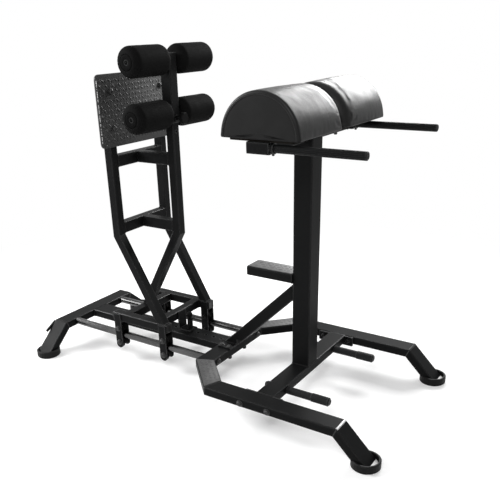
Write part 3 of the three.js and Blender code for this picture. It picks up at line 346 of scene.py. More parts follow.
# %% Vinyl
def vinyl(name, new_and_worn, roughness, relief, wave, gloss):
    cover = Finish(name, {"Specular IOR Level": gloss})
    new, faded = new_and_worn
    leather = cover.cells(620)
    drag = cover.cloud(1, 3, cover.stretched(10, 24, 10))
    worn = cover.ramp(cover.cloud(16, 5), (0.45, 0), (0.7, 1))
    cover.feed("Base Color", cover.blend(worn * 0.4 + leather * 0.15, grey(new), grey(faded)))
    cover.feed("Roughness", roughness + drag * 0.12 + worn * 0.05)
    cover.relief(leather * 0.25 + drag * wave, relief, 0.002)
    return cover.material


pad_vinyl = vinyl("pad_vinyl", (0.003, 0.008), 0.36, relief=0.18, wave=2.2, gloss=0.17)
panel_vinyl = vinyl("pad_end_panel", (0.006, 0.013), 0.55, relief=0.1, wave=0.5, gloss=0.14)
welt_vinyl = vinyl("pad_welt", (0.016, 0.03), 0.42, relief=0.1, wave=0.3, gloss=0.14)
print("vinyl", pad_vinyl.name, panel_vinyl.name, welt_vinyl.name)

# %% [markdown]
# ## Board, bolts and welds
# The pad board is plywood, sprayed black, so its edge is rough with short grain. The welds keep a coarse
# skin under the coat. In both, one pattern moves the colour, the gloss and the bump together, so one
# function makes them. The bolts are zinc plated and blackened, and their rims are painted lighter as a
# highlight.

# %% Board, bolts and welds
def one_pattern(name, uniform, pattern, dark, light, roughness, change, bump=None):
    """A finish whose colour and gloss follow one pattern, and its bump too where that is given."""
    finish = Finish(name, uniform)
    value = pattern(finish)
    finish.feed("Base Color", finish.blend(value, dark, light))
    finish.feed("Roughness", roughness + value * change)
    if bump:
        finish.relief(value, *bump)
    return finish.material


board_wood = one_pattern("board_wood", {"Specular IOR Level": 0.08},
                         lambda f: f.cloud(1, 4, f.stretched(30, 12, 900)),
                         grey(0.006, 0.1), grey(0.022, 0.15), 0.6, 0.25, (0.3, 0.0006))
weld_coat = one_pattern("coated_weld", {"Specular IOR Level": 0.06}, lambda f: f.cloud(420, 3),
                        grey(0.008), grey(0.02), 0.36, 0.16, (0.2, 0.0005))

plating = Finish("blackened_bolts", {"Metallic": 0.7, "Specular IOR Level": 0.5})
tarnish = plating.cloud(160, 3)
# Painted highlight: each bolt's rim is coloured lighter.
painted_rim_highlight = plating.edge(0.0014) * 2.5
plating.feed("Base Color", plating.blend(tarnish * 0.5 + painted_rim_highlight, grey(0.012), grey(0.1)))
plating.feed("Roughness", 0.28 + tarnish * 0.2)
plating.relief(tarnish, 0.1, 0.0003)
bolt_steel = plating.material
print("board, welds and bolts", board_wood.name, weld_coat.name, bolt_steel.name)

# %% [markdown]
# ## Bends, rims and painted reflections
# Where a leg bends away from its tube the coat is smooth and thick; the near front bend is painted bright
# metal as a highlight. The foot plate's rim is painted as bright steel, a highlight, and a pale disc in each
# cup is a painted reflection. These are small places, so a colour that drifts with one pattern is enough.

# %% Bends, rims and liners
bend_coat = one_pattern("smooth_bend", {"Specular IOR Level": 0.12}, lambda f: f.cloud(60, 2),
                        grey(0.006), grey(0.012), 0.3, 0.1)
# Painted highlight: the near front bend is coloured bright metal.
bend_painted_highlight = one_pattern("bend_painted_highlight", {"Metallic": 0.6, "Specular IOR Level": 0.5},
                          lambda f: f.cloud(80, 3), grey(0.3), grey(0.75), 0.34, 0.1)
# Painted highlight: the foot plate's rim strips are coloured bright dashed steel.
rim_painted_highlight = one_pattern("rim_painted_highlight", {"Metallic": 0.8, "Specular IOR Level": 0.5}, lambda f: f.ramp(
    f.cloud(1, 3, f.stretched(40, 40, 130)), (0.42, 0), (0.56, 1)), grey(0.03), grey(0.75), 0.5, -0.15)
# Painted reflection: a pale disc in each foot cup.
cup_painted_reflection = one_pattern("cup_painted_reflection", {"Specular IOR Level": 0.2}, lambda f: f.cloud(90, 3),
                         grey(0.7, 0.01), grey(0.86, 0.01), 0.5, 0.2)
print("small finishes", bend_coat.name, bend_painted_highlight.name, rim_painted_highlight.name, cup_painted_reflection.name)

# %% [markdown]
# ## Finishes on the frame
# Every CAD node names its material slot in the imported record. One table says which finish a slot takes, so
# a node that is added later is never left bare.

# %% Dress the CAD nodes
FINISH_OF_SLOT = {
    "frame_coat": black_coat, "tread_coat": plate_tread, "rod_chrome": rod_chrome, "peg_steel": peg_coat,
    "foot_rubber": foot_rubber, "pad_vinyl": pad_vinyl, "board_wood": board_wood, "roller_foam": foam_skin,
    "black_plastic": black_plastic,
}
for entry in frame["record"]["subparts"]:
    node = nodes[entry["node"]]
    node.data.materials.clear()
    node.data.materials.append(FINISH_OF_SLOT[entry["material_slot"]])

# %% [markdown]
# ## Building pieces
# Each added piece is mesh code: rings of points joined by a skin. `Shape` collects vertices and faces for
# one piece, so a whole set of bolts or welds becomes one object that rides on one body.

# %% Mesh helpers
class Shape:
    """Vertices and faces gathered for one piece."""

    def __init__(self):
        self.verts = []
        self.faces = []

    def loft(self, rings, start=True, end=True):
        """Joins equal rings of points into a skin; the ends are capped unless told not to."""
        base, count = len(self.verts), len(rings[0])
        self.verts += [tuple(point) for ring in rings for point in ring]
        for i in range(len(rings) - 1):
            low, high = base + i * count, base + (i + 1) * count
            for k in range(count):
                after = (k + 1) % count
                self.faces.append((low + k, low + after, high + after, high + k))
        if start:
            self.faces.append(tuple(base + k for k in reversed(range(count))))
        if end:
            self.faces.append(tuple(base + (len(rings) - 1) * count + k for k in range(count)))
        return self

    def turned(self, profile, place, axis, steps=24, squared=()):
        """A turned form from (radius, along) pairs round an axis. Rings named in squared have six flats."""
        along = Vector(axis).normalized()
        side = along.orthogonal().normalized()
        over = along.cross(side)
        rings = []
        for i, (radius, offset) in enumerate(profile):
            ring = []
            for k in range(steps):
                angle = math.tau * k / steps
                reach = radius
                if i in squared:
                    reach *= math.cos(math.pi / 6) / math.cos((angle % (math.pi / 3)) - math.pi / 6)
                out = side * math.cos(angle) + over * math.sin(angle)
                ring.append(Vector(place) + along * offset + out * reach)
            rings.append(ring)
        return self.loft(rings)

    def mesh(self, name):
        """The skin as a mesh, with its faces turned outwards."""
        mesh = bpy.data.meshes.new(name)
        mesh.from_pydata(self.verts, [], self.faces)
        work = bmesh.new()
        work.from_mesh(mesh)
        bmesh.ops.recalc_face_normals(work, faces=work.faces)
        work.to_mesh(mesh)
        work.free()
        return mesh

    def piece(self, name, body, slot, material, smooth_below=40):
        """The finished object, riding on its body."""
        mesh = self.mesh(name)
        mesh.materials.append(material)
        mesh.shade_smooth()
        mesh.set_sharp_from_angle(angle=math.radians(smooth_below))
        made = bpy.data.objects.new(name, mesh)
        bpy.context.scene.collection.objects.link(made)
        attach(made, body)
        return made


def arc(radius, start, end, steps):
    """Points on an arc as (cosine, sine) pairs times the radius, both ends included."""
    angles = [start + (end - start) * k / steps for k in range(steps + 1)]
    return [(radius * math.cos(angle), radius * math.sin(angle)) for angle in angles]


def round_ring(centre, side, over, radius, count):
    """A circle of points in the plane of side and over."""
    last = math.tau * (count - 1) / count
    return [centre + side * c + over * s for c, s in arc(radius, 0, last, count - 1)]


SIDES = (("near", -1), ("far", 1))
X_AXIS, Y_AXIS, Z_AXIS = Vector((1, 0, 0)), Vector((0, 1, 0)), Vector((0, 0, 1))
print("helpers for meshes ready")

# %% [markdown]
# ## The hip pads
# A hip pad is a block of firm foam under a pulled vinyl cover: a half-round barrel, a soft roll into the
# split between the pads, and at the outer end a flat panel sewn in behind a welt. The foam is built as a
# fine skin of squares. A short cloth simulation with a little pressure inside then lets the cover find its
# own slack: it stays tight over the crown and gathers near the board. Only a share of that motion is kept,
# and none at the seam, so the outline stays that of the real pad.

# %% Hip pad sizes
PAD_X, PAD_BASE, PAD_RADIUS = 0.399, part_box("hip_pad_near")[0].z, 0.156
PAD_END, PAD_INNER = 0.347, 0.010
INNER_ROLL, OUTER_ROLL, BASE_ROLL = 0.036, 0.0105, 0.0035
PAD_CROWN = 0.0008  # how much lower the barrel lies at its ends than in its middle
ROLL_IN_SHARE, ROLL_UP_SHARE = 0.28, 0.3
ARC_STEPS, FLAT_STEPS, LENGTH_STEPS, INNER_STEPS, OUTER_STEPS = 76, 24, 44, 6, 4


def pad_ring(y, radius, base_lift=0.0):
    """The half-round section at y, its two lower edges rolled, its base flat on the board."""
    lift = math.asin(BASE_ROLL / radius)
    base, half = PAD_BASE + base_lift, radius - BASE_ROLL
    shoulder, shoulder_z = radius - BASE_ROLL * ROLL_IN_SHARE, base + BASE_ROLL * ROLL_UP_SHARE
    ring = [(PAD_X + half, base), (PAD_X + shoulder, shoulder_z)]
    ring += [(PAD_X + c, PAD_BASE + s) for c, s in arc(radius, lift, math.pi - lift, ARC_STEPS)]
    ring += [(PAD_X - shoulder, shoulder_z), (PAD_X - half, base)]
    ring += [(PAD_X - half + 2 * half * k / FLAT_STEPS, base) for k in range(1, FLAT_STEPS)]
    return [Vector((x, y, z)) for x, z in ring]


def rolled_edge(end, way, roll, steps):
    """(distance from the middle, radius) round a quarter roll, from its flat to the barrel."""
    angles = [math.pi / 2 * k / steps for k in range(steps + 1)]
    return [(end + way * roll * (1 - math.sin(angle)), PAD_RADIUS - PAD_CROWN - roll * (1 - math.cos(angle)))
            for angle in angles]


def pad_stations():
    """(distance from the middle, radius) from the flat of the inner end to the edge of the end panel."""
    stations = rolled_edge(PAD_INNER, 1, INNER_ROLL, INNER_STEPS)[::-1]
    length = PAD_END - PAD_INNER - INNER_ROLL - OUTER_ROLL
    for k in range(1, LENGTH_STEPS):
        share = k / LENGTH_STEPS
        radius = PAD_RADIUS - PAD_CROWN * (2 * share - 1) ** 2
        stations.append((PAD_INNER + INNER_ROLL + length * share, radius))
    return stations + rolled_edge(PAD_END, -1, OUTER_ROLL, OUTER_STEPS)


print("pad skin", len(pad_stations()), "stations of", len(pad_ring(0, PAD_RADIUS)), "points")

# %% [markdown]
# The ends are closed with rings that shrink towards the middle of the base, so the cloth has even squares
# there too. The outer one dips behind the seam: the barrel's cover wraps round the edge and meets the panel
# a little inside it.

# %% Hip pad skin
PANEL_INSET, PANEL_SINK, PANEL_TUCK = 0.0035, 0.0018, 0.003
PANEL_EDGE_SHARE, PANEL_FACE_SHARE = 0.7, 0.5  # of the sink: the panel swells out again from its seam
SEAM_LIP, SEAM_LIFT, PANEL_LIFT = 0.0004, 0.001, 0.0015
SHRINK_SHARES, END_LIFT_SHARE = (0.93, 0.8, 0.62, 0.42, 0.2), 0.12


def pad_mesh(name):
    """The whole skin of the near pad."""
    stations = pad_stations()
    inner_y, inner_radius = stations[0]
    outer_y, outer_radius = stations[-1]
    end_lift = PAD_RADIUS * END_LIFT_SHARE
    rings = [pad_ring(-inner_y, inner_radius * s, end_lift * (1 - s)) for s in reversed(SHRINK_SHARES)]
    rings += [pad_ring(-y, radius) for y, radius in stations]
    seam = outer_radius - PANEL_INSET
    rings.append(pad_ring(-(outer_y - SEAM_LIP), (outer_radius + seam) / 2))
    rings.append(pad_ring(-(outer_y - PANEL_SINK), seam, SEAM_LIFT))
    panel_y, panel_radius = outer_y - PANEL_SINK * PANEL_FACE_SHARE, seam - PANEL_TUCK
    rings.append(pad_ring(-(outer_y - PANEL_SINK * PANEL_EDGE_SHARE), panel_radius, PANEL_LIFT))
    rings += [pad_ring(-panel_y, panel_radius * s, PANEL_LIFT + end_lift * (1 - s)) for s in SHRINK_SHARES]
    return Shape().loft(rings).mesh(name)


near_skin = pad_mesh("hip_cushion_near")
print("near skin", len(near_skin.polygons), "faces")

# %% [markdown]
# Blender's cloth solver works on the skin itself. It is pinned at the base and at the seam, steps through a
# few frames without gravity, and each point then takes over its own motion, up to a cap.

# %% Cover settled by cloth
CLOTH_FRAMES, CLOTH_PRESSURE, CLOTH_CAP = 16, 2.5, 0.0022
BASE_HELD, SEAM_HELD, SEAM_FADE = 0.0015, 0.006, 0.05


def settle(mesh):
    """Runs cloth on the skin and keeps each point's motion up to a cap, none at the seam or the base."""
    held = bpy.data.objects.new("pad_cloth", mesh)
    bpy.context.scene.collection.objects.link(held)
    rest = [v.co.copy() for v in mesh.vertices]
    pins = held.vertex_groups.new(name="pins")
    for v in mesh.vertices:
        if v.co.z < PAD_BASE + BASE_HELD or -v.co.y > PAD_END - SEAM_HELD:
            pins.add([v.index], 1.0, "REPLACE")
    cloth = held.modifiers.new("cloth", "CLOTH")
    cloth.settings.quality = 6
    cloth.settings.mass = 0.25
    cloth.settings.tension_stiffness = cloth.settings.compression_stiffness = 18
    cloth.settings.bending_stiffness = 0.6
    cloth.settings.use_pressure = True
    cloth.settings.uniform_pressure_force = CLOTH_PRESSURE
    cloth.settings.effector_weights.gravity = 0
    cloth.settings.vertex_group_mass = "pins"
    cloth.point_cache.frame_start, cloth.point_cache.frame_end = 1, CLOTH_FRAMES
    for frame_number in range(1, CLOTH_FRAMES + 1):
        bpy.context.scene.frame_set(frame_number)
    shown = held.evaluated_get(bpy.context.evaluated_depsgraph_get())
    moved = [v.co.copy() for v in shown.data.vertices]
    bpy.context.scene.frame_set(1)
    bpy.data.objects.remove(held)
    largest = 0.0
    for v, before, after in zip(mesh.vertices, rest, moved):
        step = after - before
        step *= min(1.0, max(0.0, (PAD_END - SEAM_HELD + before.y) / SEAM_FADE))
        if step.length > CLOTH_CAP:
            step *= CLOTH_CAP / step.length
        largest = max(largest, step.length)
        v.co = before + step
    return largest


print("cover moved up to", round(settle(near_skin) * 1000, 2), "mm")

# %% [markdown]
# A pulled cover is never quite even: slow waves run over it, and short gathers stand along the board. Noise
# moves the points by a fraction of a millimetre, and a sine that fades away above the base makes the
# gathers. The far pad is the near one mirrored, so both were cut from one pattern.

# %% Waves and gathers
WAVE_SCALES, WAVE_DEPTH, SKIN_IN = Vector((7, 5, 7)), 0.0006, 0.0008
GATHERS, GATHER_DRIFT, GATHER_DEPTH, GATHER_REACH = 180, 3, 0.0004, 0.05
SKIN_FROM_RADIUS, SKIN_FROM_BASE = 0.1, 0.01
for vertex in near_skin.vertices:
    out = Vector((vertex.co.x - PAD_X, 0, vertex.co.z - PAD_BASE))
    if out.length > SKIN_FROM_RADIUS and vertex.co.z > PAD_BASE + SKIN_FROM_BASE:
        wave = noise.noise(vertex.co * WAVE_SCALES)
        base_pull = max(0.0, 1 - (vertex.co.z - PAD_BASE) / GATHER_REACH)
        gather = math.sin(vertex.co.y * GATHERS + GATHER_DRIFT * wave) * base_pull ** 2
        vertex.co += out.normalized() * (wave * WAVE_DEPTH + gather * GATHER_DEPTH - SKIN_IN)


def mirrored(mesh, name):
    """The same skin on the far side, its faces turned to point out."""
    copy = mesh.copy()
    copy.name = name
    copy.transform(Matrix.Diagonal((1, -1, 1, 1)))
    copy.flip_normals()
    return copy


skins = {"near": near_skin, "far": mirrored(near_skin, "hip_cushion_far")}
print("skins", [skin.name for skin in skins.values()])

# %% [markdown]
# The cover is one skin with two finishes: glossy on the barrel and flatter on the panel. Then the pads are
# subdivided once, so the highlights run without facets.

# %% Hip pads
for side, skin in skins.items():
    skin.materials.append(pad_vinyl)
    skin.materials.append(panel_vinyl)
    for face in skin.polygons:
        middle = face.center
        from_axis = Vector((middle.x - PAD_X, 0, middle.z - PAD_BASE)).length
        in_panel = abs(middle.y) > PAD_END - SEAM_HELD and from_axis < PAD_RADIUS - OUTER_ROLL - PANEL_INSET
        face.material_index = 1 if in_panel else 0
    skin.shade_smooth()
    cushion = bpy.data.objects.new(f"hip_cushion_{side}", skin)
    bpy.context.scene.collection.objects.link(cushion)
    finer = cushion.modifiers.new("finer", "SUBSURF")
    finer.levels = finer.render_levels = 1
    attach(cushion, "base_frame")
    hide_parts(f"hip_pad_{side}")
print("pads", [len(skin.polygons) for skin in skins.values()], "faces")

# %% [markdown]
# The seam round the end panel is a welt: a cord rolled in a strip of vinyl and sewn into the joint. A thin
# tube follows the panel's outline, and a row of short stitches lies just outside it.

# %% Welts and stitches
WELT_RADIUS, WELT_PROUD, WELT_SINK, WELT_START = 0.0013, 0.0006, 0.0012, 0.02
STITCH_LENGTH, STITCH_PITCH, STITCH_RADIUS, STITCH_FLAT_SHARE = 0.0038, 0.0062, 0.00042, 0.8
STITCH_OUT, STITCH_SINK = 0.0034, 0.0002
STITCH_SHARES = ((-1, 0.3), (-0.6, 1), (0.6, 1), (1, 0.3))  # along the thread and of its radius
seam_radius = PAD_RADIUS - PAD_CROWN - OUTER_ROLL - PANEL_INSET + WELT_PROUD
stitch_count = int(math.pi * seam_radius / STITCH_PITCH)
for side, sign in SIDES:
    welt = Shape()
    rings = []
    for c, s in arc(seam_radius, WELT_START, math.pi - WELT_START, 90):
        point = Vector((PAD_X + c, sign * (PAD_END - WELT_SINK), PAD_BASE + s))
        rings.append(round_ring(point, Vector((c, 0, s)).normalized(), Y_AXIS, WELT_RADIUS, 8))
    welt.loft(rings)
    welt.piece(f"pad_welt_{side}", "base_frame", "pad_vinyl", welt_vinyl, 180)
    stitches = Shape()
    flattened = Y_AXIS * sign * STITCH_FLAT_SHARE
    for k in range(stitch_count):
        angle = (k + 0.5) / stitch_count * math.pi
        out = Vector((math.cos(angle), 0, math.sin(angle)))
        half = Vector((-math.sin(angle), 0, math.cos(angle))) * STITCH_LENGTH / 2
        centre = Vector((PAD_X, sign * (PAD_END - STITCH_SINK), PAD_BASE)) + out * (seam_radius + STITCH_OUT)
        stitches.loft([round_ring(centre + half * t, out, flattened, STITCH_RADIUS * r, 6)
                       for t, r in STITCH_SHARES])
    stitches.piece(f"pad_stitches_{side}", "base_frame", "pad_vinyl", welt_vinyl, 180)
print("welts and", stitch_count, "stitches a side")

# %% [markdown]
# ## The ankle rollers
# Each roller is a sleeve of moulded foam on an axle. Its ends are well rounded, and a flat plastic hub disc
# sits in a shallow recess at the outer end. Round the outer end runs a ring of small pits from the mould.
# The foam's skin is never quite true either, so a little slow noise moves the surface in and out.

# %% Ankle roller sizes
FOAM_RADIUS, FOAM_INNER, FOAM_OUTER, FOAM_ROUND, FOAM_STEPS = 0.059, 0.036, 0.250, 0.028, 16
AXLE_RADIUS, AXLE_HOLE, WASHER_RADIUS, PLUG_RADIUS = 0.0125, 0.0108, 0.016, 0.0046
HUB_RADIUS, HUB_RECESS, RECESS_LIP, RECESS_EDGE = 0.0305, 0.003, 0.0005, 0.0004
BORE_GAP, BORE_LIP, BORE_DEPTH = 0.0003, 0.002, 0.004
PITS, PIT_DEPTH, PIT_RING_SHARE, PIT_WIDTH_SHARE = 24, 0.0011, 0.3, 0.16
HUB_RISE = (  # radius and height over the recess, from the axle's end over its washer to the rim and back
    (AXLE_HOLE, 0.0026), (WASHER_RADIUS + 0.0004, 0.0026), (WASHER_RADIUS + 0.0004, 0.0002),
    (HUB_RADIUS - 0.0012, 0.0002), (HUB_RADIUS - 0.001, 0.0018), (HUB_RADIUS - 0.0018, 0.0028),
    (HUB_RADIUS - 0.003, 0.0031), (AXLE_HOLE + 0.0006, 0.0031), (AXLE_HOLE, 0.0029), (AXLE_HOLE, 0.0026))
PLUG_RISE = (  # radius and height from the roller's outer end
    (PLUG_RADIUS, -0.0116), (PLUG_RADIUS, -0.0026), (PLUG_RADIUS - 0.001, -0.0018))


def foam_profile():
    """The sleeve as (radius, along) from its bore at the inner end to the recess at the outer one."""
    inner_end = [(AXLE_RADIUS + BORE_GAP, FOAM_INNER + BORE_DEPTH),
                 (AXLE_RADIUS + BORE_LIP, FOAM_INNER + RECESS_LIP)]
    inner_end += [(FOAM_RADIUS - FOAM_ROUND + s, FOAM_INNER + FOAM_ROUND - c)
                  for c, s in arc(FOAM_ROUND, 0, math.pi / 2, 10)]
    straight = FOAM_OUTER - FOAM_INNER - 2 * FOAM_ROUND
    barrel = [(FOAM_RADIUS, FOAM_INNER + FOAM_ROUND + straight * k / FOAM_STEPS)
              for k in range(1, FOAM_STEPS)]
    outer_end = [(FOAM_RADIUS - FOAM_ROUND + c, FOAM_OUTER - FOAM_ROUND + s)
                 for c, s in arc(FOAM_ROUND, 0, math.pi / 2, 10)]
    outer_end += [(HUB_RADIUS + RECESS_EDGE, FOAM_OUTER - RECESS_LIP), (HUB_RADIUS, FOAM_OUTER - HUB_RECESS),
                  (AXLE_RADIUS + BORE_GAP, FOAM_OUTER - HUB_RECESS)]
    return inner_end + barrel + outer_end


def pit(out, along):
    """How far the skin sinks at a point of the rounded outer end, in a ring of pits left by the mould."""
    turn = math.atan2(out.z, out.x) * PITS
    ring = (along - (FOAM_OUTER - FOAM_ROUND * PIT_RING_SHARE)) / (FOAM_ROUND * PIT_WIDTH_SHARE)
    return PIT_DEPTH * max(0.0, math.cos(turn)) ** 2 * math.exp(-ring * ring)


print("roller profile", len(foam_profile()), "rings,", PITS, "pits")

# %% [markdown]
# The frame has two pairs of rollers on two axles. One loop makes each pair's foam and hubs, riding on the
# roller's own body so that they turn with it, and the plugs in the axles' ends, which stay with the sleeve.

# %% Ankle rollers
AXLE_X = -0.244
LEVELS = (("upper", 1.346), ("lower", 1.1375))
DENTS, DENT_DEPTH, DENT_IN, SKIN_MARGIN = 22, 0.0006, 0.55, 0.002
plugs = Shape()
for level, height in LEVELS:
    for side, sign in SIDES:
        name, place, outward = f"foam_roller_{level}_{side}", (AXLE_X, 0, height), (0, sign, 0)
        foam_shape = Shape().turned(foam_profile(), place, outward, 6 * PITS)
        for i, point in enumerate(foam_shape.verts):
            out = Vector((point[0] - AXLE_X, 0, point[2] - height))
            if out.length > HUB_RADIUS + SKIN_MARGIN:
                own_place = Vector((height * 9, sign, 0))  # so that no two rollers have the same dents
                dent = noise.noise(Vector(point) * DENTS + own_place) - DENT_IN
                sunk = dent * DENT_DEPTH - pit(out, abs(point[1]))
                foam_shape.verts[i] = tuple(Vector(point) + out.normalized() * sunk)
        roll = foam_shape.piece(f"ankle_roll_{level}_{side}", name, "roller_foam", foam_skin)
        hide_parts(name)
        hub_rings = [(radius, FOAM_OUTER - HUB_RECESS + rise) for radius, rise in HUB_RISE]
        hub = Shape().turned(hub_rings, place, outward, 48)
        hub.faces = [face for face in hub.faces if len(face) == 4]
        hub.piece(f"roll_hub_{level}_{side}", name, "black_plastic", hub_plastic)
        plugs.turned([(radius, FOAM_OUTER + rise) for radius, rise in PLUG_RISE], place, outward, 20)
plugs.piece("axle_plugs", "sleeve", "black_plastic", black_plastic)
print("ankle rollers and hubs made")

# %% [markdown]
# ## Tread plates
# The raised pattern is rows of short lugs, each lens-shaped and turned the other way from its neighbours. A
# lug is a low dome over a lens: a ring on the plate, a smaller ring above it and a ridge line on top. One
# function lays a field of them over any flat panel, leaving out those that would cross its edge or sit
# under a bolt.

# %% Lugs
LUG_LENGTH, LUG_WIDTH, LUG_HEIGHT, LUG_PITCH = 0.0215, 0.0078, 0.0012, 0.0195
WORN_LUG, LUG_SINK, LUG_POINTS, LUG_ROWS = 0.0008, 0.0002, 10, 30
LUG_SHARES = ((1.0, None), (0.72, 0.75), (0.3, 1.0))  # of the lens and of the height; the first ring is sunk


def lug(shape, centre, along, over, normal, full):
    """One lens-shaped lug on a plate."""
    rings = []
    for share, lift in LUG_SHARES:
        middle = centre + normal * (full * lift if lift else -LUG_SINK)
        rings.append(round_ring(middle, along * LUG_LENGTH, over * LUG_WIDTH, share / 2, LUG_POINTS))
    shape.loft(rings, start=False)


def lug_field(shape, origin, u, v, inside, full=LUG_HEIGHT):
    """Lugs on the plane of u and v round the origin, wherever inside(a, b) is true."""
    normal = u.cross(v)
    count = 0
    for i in range(-LUG_ROWS, LUG_ROWS + 1):
        for j in range(-LUG_ROWS, LUG_ROWS + 1):
            a, b = i * LUG_PITCH, j * LUG_PITCH
            if inside(a, b):
                along = (u + v * (1 if (i + j) % 2 else -1)).normalized()
                lug(shape, origin + u * a + v * b, along, normal.cross(along), normal, full)
                count += 1
    return count


print("a lug is", LUG_LENGTH * 1000, "by", LUG_WIDTH * 1000, "mm")

# %% [markdown]
# The foot plate already exists in the frame, so only its lugs are added, clear of its bolts.

# %% Foot plate lugs
plate_low, plate_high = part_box("foot_plate")
PLATE_THICKNESS, PLATE_EDGE, BOLT_CLEAR = 0.006, 0.013, 0.021
PLATE_BOLT_Y, PLATE_BOLT_HEIGHTS = 0.155, (1.084, 1.231)
PLATE_FACE = plate_low.x + PLATE_THICKNESS
PLATE_BOLTS = [(side * PLATE_BOLT_Y, z) for side in (-1, 1) for z in PLATE_BOLT_HEIGHTS]
plate_centre = Vector((PLATE_FACE, 0, (plate_low.z + plate_high.z) / 2))
half_wide, half_tall = plate_high.y - PLATE_EDGE, (plate_high.z - plate_low.z) / 2 - PLATE_EDGE


def on_foot_plate(a, b):
    """Whether a lug at (a, b) from the plate's centre keeps clear of the edge and the bolts."""
    clear = all(math.hypot(a - y, plate_centre.z + b - z) > BOLT_CLEAR for y, z in PLATE_BOLTS)
    return abs(a) < half_wide and abs(b) < half_tall and clear


plate_lugs = Shape()
count = lug_field(plate_lugs, plate_centre, Y_AXIS, Z_AXIS, on_foot_plate)
plate_lugs.piece("foot_plate_lugs", "carriage", "tread_coat", plate_tread, 60)
print("foot plate lugs", count)

# %% [markdown]
# The corner treads and the step's tread are thin plates laid on the tubes, with rounded corners and a small
# chamfer. Their outlines come from the same corners as the tubes: the mitre lines where the corner tube
# meets the back tube and the rail.

# %% Tread outlines
BACK_X, CORNER_Y, RAIL_X, RAIL_Y, TUBE_HALF, BASE_TOP = 0.0235, 0.207, 0.1775, 0.36525, 0.040, 0.142
TREAD_INSET, TREAD_SIDE, TREAD_THICK, TREAD_GAP = 0.003, 0.036, 0.0022, 0.0001
CHAMFER_IN, CHAMFER_DOWN, CORNER_STEPS = 0.0008, 0.0006, 6
start, end = Vector((BACK_X, -CORNER_Y, 0)), Vector((RAIL_X, -RAIL_Y, 0))
run = (end - start).normalized()
across = Z_AXIS.cross(run)


def on_mitre(corner, before, after, offset, inset):
    """Where a line beside the run crosses the mitre at one of its ends."""
    plane = (before + after).normalized()
    point = corner + across * offset
    slide = -(point - corner).dot(plane) / run.dot(plane)
    return point + run * (slide + inset)


def within(corners, point, margin):
    """Whether a point lies inside a counter-clockwise polygon by the margin."""
    for i, corner in enumerate(corners):
        edge = (corners[(i + 1) % len(corners)] - corner).normalized()
        if edge.x * (point - corner).y - edge.y * (point - corner).x < margin:
            return False
    return True


def tread_plate(corners, corner_radius):
    """A flat plate over a polygon on the tube's top, its corners rounded, its upper edge chamfered."""
    centre = sum(corners, Vector()) / len(corners)
    outline = []
    for i, corner in enumerate(corners):
        before = (corners[i - 1] - corner).normalized()
        after = (corners[(i + 1) % len(corners)] - corner).normalized()
        for k in range(CORNER_STEPS + 1):
            share = k / CORNER_STEPS
            back, on = corner_radius * (1 - share) ** 2, corner_radius * share ** 2
            outline.append(corner + before * back + after * on)
    side = [p + Z_AXIS * (TREAD_THICK - CHAMFER_DOWN) for p in outline]
    top = [p + (centre - p).normalized() * CHAMFER_IN + Z_AXIS * TREAD_THICK for p in outline]
    return Shape().loft([outline, side, top])


back_mitre, rail_mitre = (start, -Y_AXIS, run), (end, run, X_AXIS)
tread_corners = [
    on_mitre(*back_mitre, -TREAD_SIDE, TREAD_INSET), on_mitre(*rail_mitre, -TREAD_SIDE, -TREAD_INSET),
    on_mitre(*rail_mitre, TREAD_SIDE, -TREAD_INSET), on_mitre(*back_mitre, TREAD_SIDE, TREAD_INSET)]
print("corner tread, from its first corner", [round((c - tread_corners[0]).length, 4) for c in tread_corners])

# %% Corner and step treads
CORNER_MARGIN, CORNER_ROUND, STEP_MARGIN, STEP_ROUND = 0.011, 0.009, 0.009, 0.005
STEP_INSET, STEP_FRONT_INSET = 0.005, 0.003
for side, sign in SIDES:
    lifted = [c + Z_AXIS * (BASE_TOP + TREAD_GAP) for c in tread_corners]
    tread = tread_plate(lifted, CORNER_ROUND)
    middle = sum(lifted, Vector()) / 4 + Z_AXIS * TREAD_THICK
    count = lug_field(tread, middle, run, across, lambda a, b: within(
        tread_corners, middle + run * a + across * b, CORNER_MARGIN), WORN_LUG)
    tread.verts = [tuple(Vector(p) * Vector((1, -sign, 1))) for p in tread.verts]
    tread.piece(f"corner_tread_{side}", "base_frame", "tread_coat", corner_tread_coat, 50)
print("corner tread lugs", count)

step_low, step_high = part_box("step_tube")
step_back, step_front = step_low.x + STEP_INSET, step_high.x - STEP_FRONT_INSET
step_near, step_far = step_low.y + STEP_INSET, step_high.y - STEP_INSET
step_corners = [Vector((x, y, step_high.z + TREAD_GAP)) for x, y in (
    (step_back, step_near), (step_front, step_near), (step_front, step_far), (step_back, step_far))]
step_tread = tread_plate(step_corners, STEP_ROUND)
step_middle = sum(step_corners, Vector()) / 4 + Z_AXIS * TREAD_THICK
count = lug_field(step_tread, step_middle, X_AXIS, Y_AXIS, lambda a, b: within(
    step_corners, step_middle + X_AXIS * a + Y_AXIS * b, STEP_MARGIN))
step_tread.piece("step_tread", "base_frame", "tread_coat", step_tread_coat, 50)
print("step tread lugs", count)

# %% [markdown]
# ## Welds
# Each tube is joined to the next with a fillet weld: a bead of overlapping puddles round the joint, coated
# with the frame. A bead here is a thin tube along the joint whose radius rises and falls with each puddle.
# Each joint is a square line, given by its middle, the two axes of its plane and its half sizes.

